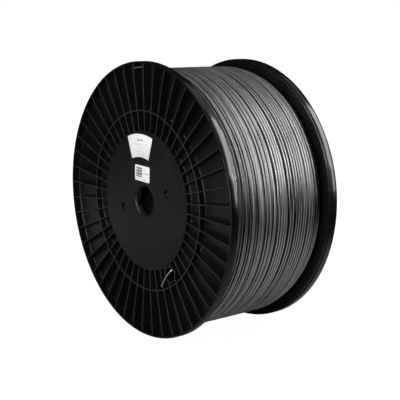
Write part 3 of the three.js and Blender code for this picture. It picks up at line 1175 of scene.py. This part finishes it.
    def _cups(self, name: str, material: bpy.types.Material) -> bpy.types.Object:
        """The cups that close the two drive holes behind the hub disc.

        Args:
            name: The piece's name.
            material: Its material.

        Returns:
            Both cups as one piece.
        """
        start = self.hub_recess + self.hub_thickness - self.cup_overlap
        floor = self.hub_recess + self.drive_depth
        back = floor + self.cup_wall
        outer = self.drive_radius + self.cup_wall
        outline = rounded([
            (outer, start, 0.0), (outer, back, self.soft_edge), (self.cup_pinhole, back, 0.0),
            (self.cup_pinhole, floor, 0.0), (self.drive_radius, floor, self.inner_foot),
            (self.drive_radius, start, 0.0)])
        draft = MeshDraft()
        for centre in self._drive_centres():
            draft.add_rings(turned_rings(outline, self.small_segments, centre), closed=True)
        return draft.build(name, material)

    def _ribs(self, name: str, material: bpy.types.Material) -> bpy.types.Object:
        """The radial ribs, from the hub disc through the ring to the rim.

        Args:
            name: The piece's name.
            material: Its material.

        Returns:
            The ribs as one piece, cut away inside the well.
        """
        floor = self.thickness - self.web / 2
        half_top = self.rib_thickness / 2
        half_foot = half_top + self.rib_draft
        into_hub, into_rim = self.rib_overlaps
        bends = (self.hub_radius - into_hub, self.hub_radius, self.level_radius, self.rim_inner + into_rim)
        draft = MeshDraft()
        for rib in range(self.rib_count):
            angle = self.rib_start + FULL_TURN * rib / self.rib_count
            rings = []
            for radius in bends:
                front = self.face_recess(radius) + self.sunk / 2
                section = rounded([
                    (-half_foot, floor, 0.0), (-half_top, front, self.front_edge),
                    (half_top, front, self.front_edge), (half_foot, floor, 0.0)])
                rings.append([beside_ray(angle, radius, offset, depth) for offset, depth in section])
            draft.add_rings(rings)
        ribs = draft.build(name, material)
        middle_of_wall = self.well_radius + self.well_wall / 2
        cut(ribs, [self._drill("rib_gap", self.well_place, middle_of_wall, (0.0, self.thickness))])
        dress(ribs, material)
        return ribs

    def _well(self, name: str, material: bpy.types.Material) -> bpy.types.Object:
        """The wall of the filament well.

        Args:
            name: The piece's name.
            material: Its material.

        Returns:
            The well.
        """
        outer = self.well_radius + self.well_wall
        top = self.well_recess + self.sunk
        back = self.thickness - self.web / 2
        outline = rounded([
            (self.well_radius, back, 0.0), (self.well_radius, top, self.soft_edge),
            (outer, top, self.soft_edge), (outer, back, 0.0)])
        return turned(outline, self.small_segments, on_face(*self.well_place)).build(name, material)


@dataclass
class Barrel:
    """What joins the flanges: the spindle tube, and the drum under the filament."""

    material: bpy.types.Material
    tube_inner: float = 22.3
    tube_wall: float = 2.5
    edge: float = 0.4
    segments: int = 128

    def build(self) -> None:
        """Builds the round spindle tube and dresses the drum."""
        low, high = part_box("spindle_tube")
        start = low.y / MM
        end = high.y / MM
        inner = self.tube_inner
        outer = inner + self.tube_wall
        outline = rounded([
            (radius, depth, self.edge)
            for radius, depth in ((inner, start), (outer, start), (outer, end), (inner, end))])
        tube = turned(outline, self.segments).build("spindle_tube_round", self.material)
        settle(tube, "spindle_tube")
        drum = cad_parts["drum"]
        drum.data.materials.clear()
        drum.data.materials.append(self.material)
        log.info("drum: dressed")


# ---- Filament -----------------------------------------------------------------------------------


def set_tones(piece: bpy.types.Object, tones: Sequence[float]) -> None:
    """Gives each point of a piece of filament the tone that its material reads."""
    attribute = piece.data.attributes.new(STRAND_TONE_AND_SHADE, "FLOAT", "POINT")
    attribute.data.foreach_set("value", tones)


@dataclass(frozen=True)
class Layer:
    """One layer of turns.

    Depth is how far its turns lie under the outermost ones, packs are the numbers of turns that may lie
    side by side, and gap is the least and the widest step over to the next pack, in diameters. Lead is 1
    or -1, the way that the strand moves along the drum. The strand has as many sides, and as many steps
    to a turn. Tone is that of its highest turns; a lower layer's darker tone is painted shade.
    """

    name: str
    node: str
    depth: float
    packs: tuple[int, ...]
    gap: tuple[float, float]
    lead: int
    sides: int
    steps: int
    tone: float


@dataclass
class Winding:
    """The wound filament: layers of turns over a plain bed, which fall away toward each flange.

    Every turn sways a little, and swings out further where it crosses over to the next place. It has a
    random phase of its own for both. High and low are how far the first turn of a pack and its other
    turns may sink, and touching is the step from a turn to the next one in its pack, in diameters.
    """

    material: bpy.types.Material
    outer_radius: float
    width: float
    diameter: float = 1.75
    shoulder: float = 33.0
    shoulder_drop: float = 8.3
    shoulder_power: float = 3.0
    bed_depth: float = 5.2
    bed_margins: tuple[float, float] = (0.4, 0.3)
    bed_steps: int = 24
    bed_segments: int = 144
    sway: float = 0.1
    sway_waves: int = 2
    crossing_sway: float = 0.3
    crossing_waves: float = 5.0
    crossing_phase: int = 3
    crossing_start: float = math.radians(22)
    crossing_share: float = 0.1
    flange_gap: float = 0.1
    touching: tuple[float, float] = (1.0, 1.03)
    high: tuple[float, float] = (0.0, 0.15)
    low: tuple[float, float] = (0.4, 0.95)
    sunk_painted_shade: float = 1.5
    tone_range: float = 0.2
    seed: int = 5
    layers: tuple[Layer, ...] = (
        Layer(
            "winding_top_turns", "filament_outer_layer", depth=0.0, packs=(1, 2, 2, 2, 3), gap=(1.25, 1.5),
            lead=1, sides=8, steps=160, tone=0.5),
        # The lower layer's darker tone is painted shade.
        Layer(
            "winding_lower_turns", "filament_core", depth=1.7, packs=(3, 4, 5), gap=(1.05, 1.2),
            lead=-1, sides=6, steps=120, tone=-0.35),
    )

    def build(self) -> None:
        """Builds the layers and the bed under them."""
        chance = random.Random(self.seed)
        for layer in self.layers:
            offsets, drops = self._turns(layer, chance)
            path = self._path(layer, offsets, drops, chance)
            rings = tube_rings(path, self.diameter / 2, layer.sides, Vector((0, 1, 0)))
            piece = MeshDraft().add_rings(rings).build(layer.name, self.material, NEVER_SHARP)
            self._tone_and_shade(piece, layer, drops)
            settle(piece, layer.node)
        self._bed()

    def _tone_and_shade(self, piece: bpy.types.Object, layer: Layer, drops: Sequence[float]) -> None:
        """Gives each turn of a layer a tone of its own, with painted shade that makes it darker the further
        it has sunk.

        Args:
            piece: The layer's piece, whose points run along its strand.
            layer: The layer.
            drops: How far each turn has sunk.
        """
        chance = random.Random(self.seed)
        # Painted shade: a turn is darker the further it has sunk.
        turns = [
            layer.tone - self.sunk_painted_shade * drop + chance.uniform(-self.tone_range, self.tone_range)
            for drop in drops]
        shares = [self._crossed(step / layer.steps)[1] for step in range(layer.steps)]
        tones: list[float] = []
        for here, ahead in zip(turns, turns[1:]):
            for share in shares:
                tones += [here + (ahead - here) * share] * layer.sides
        set_tones(piece, tones)

    def surface(self, y: float) -> float:
        """The winding's radius at a distance from the middle of the drum."""
        share = max(0.0, 1 - (self.width / 2 - abs(y)) / self.shoulder)
        return self.outer_radius - self.shoulder_drop * share**self.shoulder_power

    def _path(
        self, layer: Layer, offsets: Sequence[float], drops: Sequence[float], chance: random.Random
    ) -> list[Vector]:
        """The middle line of a layer's one strand, with uneven spacing and height.

        Each turn runs straight round the drum, and crosses over to its next place at the end.

        Args:
            layer: The layer.
            offsets: Where each turn lies across the drum.
            drops: How far each turn has sunk.
            chance: The source of the unevenness.

        Returns:
            Points along the strand.
        """
        phases = [chance.uniform(0, FULL_TURN) for _ in offsets]
        points = []
        for turn in range(len(offsets) - 1):
            phase, next_phase = phases[turn:turn + 2]
            for step in range(layer.steps):
                share = step / layer.steps
                passed, eased = self._crossed(share)
                angle = FULL_TURN * share
                swayed = angle * self.sway_waves
                wave = math.sin(swayed + phase) * (1 - share) + math.sin(swayed + next_phase) * share
                swing = math.sin(phase * self.crossing_phase + passed * self.crossing_waves)
                ripple = math.sin(math.pi * passed) * swing
                across = offsets[turn] * (1 - eased) + offsets[turn + 1] * eased
                drop = drops[turn] * (1 - eased) + drops[turn + 1] * eased
                radius = self.surface(across) - self.diameter / 2 - layer.depth - drop
                across += self.sway * wave + self.crossing_sway * ripple
                points.append(on_face(radius, self.crossing_start + angle, across * layer.lead))
        return points

    def _crossed(self, share: float) -> tuple[float, float]:
        """How far a turn has crossed over to the next one's place.

        Args:
            share: The share of the turn.

        Returns:
            The share of the crossing, plain and eased.
        """
        passed = max(0.0, (share - 1 + self.crossing_share) / self.crossing_share)
        return passed, passed * passed * (3 - 2 * passed)

    def _turns(self, layer: Layer, chance: random.Random) -> tuple[list[float], list[float]]:
        """Where each turn of a layer lies across the drum, and how far it has sunk.

        The turns lie in small packs. Between two packs is a gap, and the turn after it rides high.

        Args:
            layer: The layer.
            chance: The source of the unevenness.

        Returns:
            The places across the drum and the depths.
        """
        half = (self.width - self.diameter) / 2 - self.sway - self.crossing_sway - self.flange_gap
        gaps = []
        depths = [0.0]
        total = 0.0
        while total < 2 * half:
            for place in range(chance.choice(layer.packs)):
                first = place == 0
                gap = self.diameter * chance.uniform(*(layer.gap if first else self.touching))
                depths.append(chance.uniform(*(self.high if first else self.low)))
                gaps.append(gap)
                total += gap
        scale = 2 * half / total
        places = [-half]
        for gap in gaps:
            places.append(places[-1] + gap * scale)
        return places, depths

    def _bed(self) -> None:
        """The plain bed that fills the drum under the turns."""
        _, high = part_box("drum")
        over_drum, from_flange = self.bed_margins
        inner = high.x / MM + over_drum
        half = self.width / 2 - from_flange
        across = [half * (2 * step / self.bed_steps - 1) for step in range(self.bed_steps + 1)]
        outline: Outline = [(inner, -half)]
        outline += [(self.surface(y) - self.bed_depth, y) for y in across]
        outline.append((inner, half))
        bed = turned(outline, self.bed_segments).build("winding_bed", self.material)
        settle(bed, "filament_core")


@dataclass
class LooseEnds:
    """The two loose ends of the filament, along the same routes as their solids.

    Inside the drum, the start runs straight in from the drum's wall, bends, and goes straight to the web
    behind inside_place. That place and its route in front are in the units that _by_well takes. The route
    of the end has, for each point, the share of the way from its hole to where it lies on the winding,
    outward and along the drum, and the degrees that it lies back round the drum. It lies a share of the
    winding's shoulder in from the flange, and comes to rest against the next rib's solid.
    """

    material: bpy.types.Material
    flange: Flange
    winding: Winding
    sides: int = 16
    step: float = 0.8
    across: tuple[float, float, float] = (0.62, 0.2, -0.76)
    clearance: float = 0.15
    tone: float = 0.4
    heading: float = math.radians(238.3)
    drum_radius: float = 119.7
    start_hole_depth: float = 15.0
    inside_place: tuple[float, float] = (-0.8, 0.1)
    inside_run: float = 7.7
    inside_bend: tuple[float, float] = (3.85, 2.25)
    inside_fall: float = 9.0
    start_route: tuple[tuple[float, float, float], ...] = (
        (-0.62, 0.2, 0.37), (-0.1, 0.27, 0.14), (0.4, 0.33, 0.03), (0.89, 0.39, 0.0), (1.78, 0.47, 0.0),
        (2.53, 0.48, 0.0))
    solid_rib_half: float = 0.9
    lie_gap: float = 0.3
    lie_share: float = 0.2
    end_route: tuple[tuple[float, float, float], ...] = (
        (1.0, 1.0, 5.0), (0.75, 0.85, 3.0), (0.25, 0.5, 1.1))
    before_hole: float = 0.2
    past_hole: tuple[float, float] = (0.22, 0.6)

    @property
    def front(self) -> float:
        """Where the front edge of the rim is along the spindle axis."""
        return -self.flange.spool_width / 2

    @property
    def diameter(self) -> float:
        """The filament's diameter."""
        return self.winding.diameter

    def build(self) -> None:
        """Builds both ends."""
        self._tube("loose_start", self._start_points(), "filament_start_tail")
        self._tube("loose_end", self._end_points(), "filament_end_tail")

    def _tube(self, name: str, points: Sequence[Vector], node: str) -> None:
        """A piece of filament through points.

        Args:
            name: The piece's name.
            points: The points that it passes.
            node: The solid that it replaces.
        """
        path = smooth_path(points, self.step)
        draft = rounded_tube(path, self.diameter / 2, self.sides, Vector(self.across))
        piece = draft.build(name, self.material)
        set_tones(piece, [self.tone] * len(piece.data.vertices))
        settle(piece, node)

    def _by_well(self, along: float, aside: float, sink: float) -> Vector:
        """A point by the well, measured in well radii from its centre.

        Args:
            along: Along the way that the loose end leaves the well.
            aside: To the right of that way.
            sink: The share of the way from the ribs down to the web.

        Returns:
            The point.
        """
        radius = self.flange.well_radius
        point = on_face(*self.flange.well_place) + on_face(along * radius, self.heading)
        point += on_face(-aside * radius, self.heading + math.pi / 2)
        rest = min(self.flange.well_recess, self.flange.face_recess(math.hypot(point.x, point.z)))
        rest -= self.clearance + self.diameter / 2
        point.y = self.front + rest + (self.flange.web_front - rest) * sink
        return point

    def _start_points(self) -> list[Vector]:
        """From the drum's hole through the inside of the drum, out of the well and down over the ribs."""
        run = self._by_well(*self.inside_place, 0.0)
        angle = math.atan2(run.z, run.x)
        radius = math.hypot(run.x, run.z)
        hole = self.front + self.flange.thickness + self.start_hole_depth
        inward, forward = self.inside_bend
        return [
            on_face(self.drum_radius, angle, hole),
            on_face(self.drum_radius - self.inside_run, angle, hole),
            on_face((self.drum_radius + radius) / 2 - inward, angle, hole - forward),
            on_face(radius, angle, hole - self.inside_fall),
            on_face(radius, angle, self.front + self.flange.web_front),
            *(self._by_well(*shares) for shares in self.start_route),
        ]

    def _end_points(self) -> list[Vector]:
        """From the winding out through the small hole in the web, to lie against the next rib."""
        flange = self.flange
        hole_radius, hole_angle = flange.end_hole_place
        hole = on_face(hole_radius, hole_angle, self.front + flange.web_front + flange.web / 2)
        lie_y = self.front + flange.thickness + self.winding.shoulder * self.lie_share
        lie = self.winding.surface(lie_y) + self.diameter + self.lie_gap

        def on_way(outward: float, along: float, back: float) -> Vector:
            """A point between the hole and where the end lies on the winding."""
            return on_face(
                hole_radius + (lie - hole_radius) * outward, hole_angle - math.radians(back),
                hole.y + (lie_y - hole.y) * along)

        rib_step = FULL_TURN / flange.rib_count
        next_rib = flange.rib_start + math.ceil((hole_angle - flange.rib_start) / rib_step) * rib_step
        rest_radius = hole_radius - self.diameter / 2
        reach = self.solid_rib_half + self.diameter / 2 + self.clearance
        rest_depth = self.front + self.diameter / 2 + self.clearance
        rest = on_face(rest_radius, next_rib - reach / rest_radius, rest_depth)
        outward, _, back = self.end_route[-1]
        return [
            *(on_way(*shares) for shares in self.end_route),
            hole.lerp(on_way(outward, 1.0, back), self.before_hole),
            hole,
            *(hole.lerp(rest, share) for share in self.past_hole),
            rest,
        ]


# ---- Labels -------------------------------------------------------------------------------------


@dataclass
class Labels:
    """The two labels on the hub disc, with smooth outlines over their solids.

    The print on each is plain bars, and a plain block in place of a code. A sheet's edge is straight for
    a share of its thickness, and bevelled above that.
    """

    thickness: float = 0.3
    straight: float = 0.7
    bevel: float = 0.12
    sharp: float = 60.0
    fan_centre: tuple[float, float] = (-6.6, 1.2)
    fan_outer: float = 84.8
    fan_inner: float = 55.0
    fan_half_angle: float = math.radians(19.2)
    fan_steps: int = 40
    fan_print_middle: tuple[float, float] = (-5.8, 71.0)
    fan_bars: tuple[PrintedBar, ...] = (
        PrintedBar(0.0, 7.0, 14.0, 1.9, 0.75),
        PrintedBar(0.0, 1.5, 32.0, 1.3, 0.34),
        PrintedBar(0.0, -1.7, 17.0, 1.3, 0.2),
        PrintedBar(0.0, -4.8, 15.0, 1.3, 0.2),
        PrintedBar(0.0, -7.9, 17.0, 1.3, 0.24),
        PrintedBar(0.0, -11.0, 17.0, 1.3, 0.2),
    )
    code_centre: tuple[float, float] = (-3.0, 35.2)
    code_size: tuple[float, float] = (32.4, 20.4)
    code_corner: float = 1.5
    code_corner_steps: int = 6
    code_tilt: float = math.radians(-3.3)
    code_bars: tuple[PrintedBar, ...] = (
        PrintedBar(5.2, 5.4, 4.5, 1.6, 0.5),
        PrintedBar(8.0, 0.6, 12.0, 2.0, 0.55),
        PrintedBar(8.0, -3.2, 10.0, 0.9, 0.15),
        PrintedBar(2.0, -7.3, 24.0, 0.8, 0.15),
    )
    code_grid: PrintedBar = PrintedBar(-6.6, 1.3, 12.4, 12.4, 0.9)

    def build(self) -> None:
        """Builds and prints both labels."""
        fan = PrintedLabel("fan_label_paper", self.fan_print_middle, 0.0, self.fan_bars)
        code = PrintedLabel(
            "code_label_paper", self.code_centre, self.code_tilt, self.code_bars, self.code_grid)
        self._sheet("fan_label_sheet", self._fan_outline(), fan, "fan_label")
        self._sheet("code_label_sheet", self._code_outline(), code, "code_label")

    def _sheet(self, name: str, outline: Outline, finish: PrintedLabel, node: str) -> None:
        """A thin sheet of an outline, stuck to the hub disc.

        Args:
            name: The piece's name.
            outline: Its points as x and z, anticlockwise as seen from the front.
            finish: Its paper and print.
            node: The solid that it replaces.
        """
        _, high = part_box(node)
        back = high.y / MM
        rings = [
            [Vector((x, depth, z)) for x, z in outline]
            for depth in (back, back - self.thickness * self.straight, back - self.thickness)]
        middle = sum(rings[-1], Vector()) / len(outline)
        rings[-1] = [point + (middle - point).normalized() * self.bevel for point in rings[-1]]
        sheet = MeshDraft().add_rings(rings).build(name, finish.build(), self.sharp)
        settle(sheet, node)

    def _fan_outline(self) -> Outline:
        """The fan's two arcs."""
        centre_x, centre_z = self.fan_centre
        outline: Outline = []
        for radius, way in ((self.fan_inner, 1), (self.fan_outer, -1)):
            for step in range(self.fan_steps + 1):
                angle = math.pi / 2 + way * self.fan_half_angle * (1 - 2 * step / self.fan_steps)
                outline.append((centre_x + radius * math.cos(angle), centre_z + radius * math.sin(angle)))
        return outline

    def _code_outline(self) -> Outline:
        """The rectangle with its round corners, tilted as it was stuck on."""
        centre_x, centre_z = self.code_centre
        right, top = [length / 2 - self.code_corner for length in self.code_size]
        cosine = math.cos(self.code_tilt)
        sine = math.sin(self.code_tilt)
        outline: Outline = []
        for quarter, (x, z) in enumerate(((right, top), (-right, top), (-right, -top), (right, -top))):
            for step in range(self.code_corner_steps + 1):
                angle = (quarter + step / self.code_corner_steps) * math.pi / 2
                along = x + self.code_corner * math.cos(angle)
                up = z + self.code_corner * math.sin(angle)
                outline.append((centre_x + along * cosine - up * sine, centre_z + along * sine + up * cosine))
        return outline


# ---- Studio -------------------------------------------------------------------------------------


@dataclass(frozen=True)
class Softbox:
    """An area lamp that faces the spool's middle, with its angles in degrees and lengths in metres.

    Azimuth 0 stands in front of the labelled flange, and 90 at +X.
    """

    name: str
    azimuth: float
    elevation: float
    distance: float
    size: tuple[float, float]
    power: float
    tint: tuple[float, float, float] = (1.0, 1.0, 1.0)
    roll: float = 0.0

    def build(self) -> None:
        """Adds the lamp."""
        lamp = bpy.data.lights.new(self.name, "AREA")
        lamp.shape = "RECTANGLE"
        lamp.size, lamp.size_y = self.size
        lamp.energy = self.power
        lamp.color = self.tint
        holder = bpy.data.objects.new(self.name, lamp)
        holder.visible_camera = False
        away = direction(math.radians(self.azimuth), math.radians(self.elevation))
        holder.location = away * self.distance
        turn = away.to_track_quat("Z", "Y").to_matrix() @ Matrix.Rotation(math.radians(self.roll), 3, "Z")
        holder.rotation_euler = turn.to_euler()
        bpy.context.scene.collection.objects.link(holder)


def direction(azimuth: float, elevation: float) -> Vector:
    """The direction from the spool to a viewer.

    Args:
        azimuth: The angle round +Z, 0 at -Y and a quarter turn at +X.
        elevation: The angle above the horizon.

    Returns:
        A vector of length 1.
    """
    flat = math.cos(elevation)
    return Vector((math.sin(azimuth) * flat, -math.cos(azimuth) * flat, math.sin(elevation)))


@dataclass
class Studio:
    """The floor, the lamps, the surroundings and the camera.

    The camera looks back along its azimuth and elevation, from a distance in millimetres, moved to the
    right and up. The floor is white where the camera sees it. Where it lights the spool it is painted
    grey, with painted shade that darkens it far away, and round patches of painted light: each has its
    middle, and the radii between which it fades, in metres.
    """

    floor_level: float
    azimuth: float = math.radians(52.129)
    elevation: float = math.radians(9.532)
    roll: float = math.radians(-0.795)
    distance: float = 1193.325
    offset_right: float = 6.095
    offset_up: float = -8.019
    focal_pixels: float = 891.617
    picture_pixels: float = 400.0
    sensor: float = 36.0
    surroundings: float = 0.003
    gloss_surroundings: float = 0.01
    floor_reach: float = 8.0
    near_floor: float = 0.37
    near_floor_mottled: float = 0.41
    far_floor_painted_shade: float = 0.03
    floor_grain: Texture = Texture(40.0, 2.0)
    painted_shade_fade: tuple[float, float] = (0.22, 0.6)
    patch_painted_light: float = 0.85
    painted_light_patches: tuple[tuple[float, float, float, float], ...] = (
        (-0.75, -0.58, 0.3, 0.6), (0.16, 0.2, 0.07, 0.16))
    shadow_fade: tuple[float, float] = (0.3, 0.55)
    glow: float = 1.12
    glow_share: float = 0.88
    lamps: tuple[Softbox, ...] = (
        Softbox("front_window", 15.0, 8.0, 1.7, (0.7, 0.7), 19.2, (1.0, 1.0, 0.985)),
        Softbox("front_fill", 5.0, 36.0, 1.7, (0.7, 0.7), 7.8, (0.95, 0.975, 1.0)),
        Softbox("left_window", -35.0, 48.0, 1.7, (0.7, 0.7), 0.7, (0.84, 0.925, 1.0)),
        Softbox("low_strip", 134.0, 8.0, 1.6, (0.22, 0.5), 3.1, (1.0, 0.99, 0.975), -8.0),
        Softbox("high_strip", 141.5, 32.0, 1.6, (0.4, 1.2), 14.0, (1.0, 0.99, 0.97), -38.0),
        Softbox("back_window", 180.0, 60.0, 1.7, (0.8, 0.8), 1.2, (0.88, 0.945, 1.0)),
    )

    def build(self) -> None:
        """Sets up everything that isn't the spool."""
        self._camera()
        self._floor()
        self._world()
        for lamp in self.lamps:
            lamp.build()
        bpy.context.scene.view_settings.view_transform = "Standard"

    def _camera(self) -> None:
        """The camera, placed by the photograph's perspective."""
        data = bpy.data.cameras.new("camera")
        data.sensor_width = self.sensor
        data.lens = self.focal_pixels / self.picture_pixels * self.sensor
        camera = bpy.data.objects.new("camera", data)
        back = direction(self.azimuth, self.elevation)
        right = Vector((math.cos(self.azimuth), math.sin(self.azimuth), 0.0))
        up = back.cross(right)
        place = (back * self.distance + right * self.offset_right + up * self.offset_up) * MM
        turn = Matrix((right, up, back)).transposed().to_4x4() @ Matrix.Rotation(self.roll, 4, "Z")
        camera.matrix_world = Matrix.Translation(place) @ turn
        bpy.context.scene.collection.objects.link(camera)
        bpy.context.scene.camera = camera

    def _floor(self) -> None:
        """The floor under the spool, which keeps the spool's soft shadow."""
        reach = self.floor_reach
        corners = [(-reach, -reach), (reach, -reach), (reach, reach), (-reach, reach)]
        mesh = bpy.data.meshes.new("floor")
        mesh.from_pydata([(x, y, self.floor_level) for x, y in corners], [], [(0, 1, 2, 3)])
        floor = bpy.data.objects.new("floor", mesh)
        bpy.context.scene.collection.objects.link(floor)
        material, graph = new_material("floor_white")
        place = graph.place()
        x, y, _ = graph.parts(place)
        away = (x * x + y * y).root()
        near = self.floor_grain.read(place).blend(grey(self.near_floor), grey(self.near_floor_mottled))
        # Painted shade: the floor's paint darkens from near the spool to far away.
        paint = away.rise(*self.painted_shade_fade).blend(near, grey(self.far_floor_painted_shade))
        # Painted light: round pale patches where the floor lights the spool.
        for patch_x, patch_y, start, end in self.painted_light_patches:
            across = x - patch_x
            along = y - patch_y
            from_patch = (across * across + along * along).root()
            paint = from_patch.rise(start, end).blend(grey(self.patch_painted_light), paint)
        lit = graph.add("ShaderNodeBsdfDiffuse", inputs={"Color": paint})
        glow = graph.add("ShaderNodeEmission", inputs={"Color": grey(1.0), "Strength": self.glow})
        share = self.glow_share + away.rise(*self.shadow_fade) * (1.0 - self.glow_share)
        surface = graph.add("ShaderNodeMixShader", inputs={0: self._seen(graph) * share, 1: lit, 2: glow})
        graph.node("ShaderNodeOutputMaterial", inputs={"Surface": surface})
        mesh.materials.append(material)

    def _seen(self, graph: Graph) -> Signal:
        """1 for what the camera sees directly."""
        return graph.add("ShaderNodeLightPath", output="Is Camera Ray")

    def _world(self) -> None:
        """White where it is seen, and a plain level of light elsewhere."""
        world = bpy.data.worlds.new("studio")
        world.use_nodes = True
        bpy.context.scene.world = world
        graph = Graph(world.node_tree)
        gloss = graph.add("ShaderNodeLightPath", output="Is Glossy Ray") * self.gloss_surroundings
        seen = self._seen(graph)
        strength = seen + (1.0 - seen) * (gloss + self.surroundings)
        white = graph.add("ShaderNodeBackground", inputs={"Color": grey(1.0), "Strength": strength})
        graph.node("ShaderNodeOutputWorld", inputs={"Surface": white})


# ---- The spool ----------------------------------------------------------------------------------


def main() -> None:
    """Builds the studio and every piece of the spool."""
    logging.basicConfig(level=logging.INFO, format="%(name)s %(message)s")
    low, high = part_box("front_flange")
    radius = high.x / MM
    front = low.y / MM
    Studio(floor_level=low.z).build()
    flange = Flange(radius, -2 * front)
    moulding = BlackMoulding(flange).build()
    filament = FilamentFinish().build()
    for side in Side:
        flange.build(side, moulding)
    Barrel(moulding).build()
    drum_low, drum_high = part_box("drum")
    layer_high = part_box("filament_outer_layer")[1]
    winding = Winding(filament, layer_high.z / MM, (drum_high.y - drum_low.y) / MM)
    winding.build()
    LooseEnds(filament, flange, winding).build()
    Labels().build()


if __name__ == "__main__":
    main()
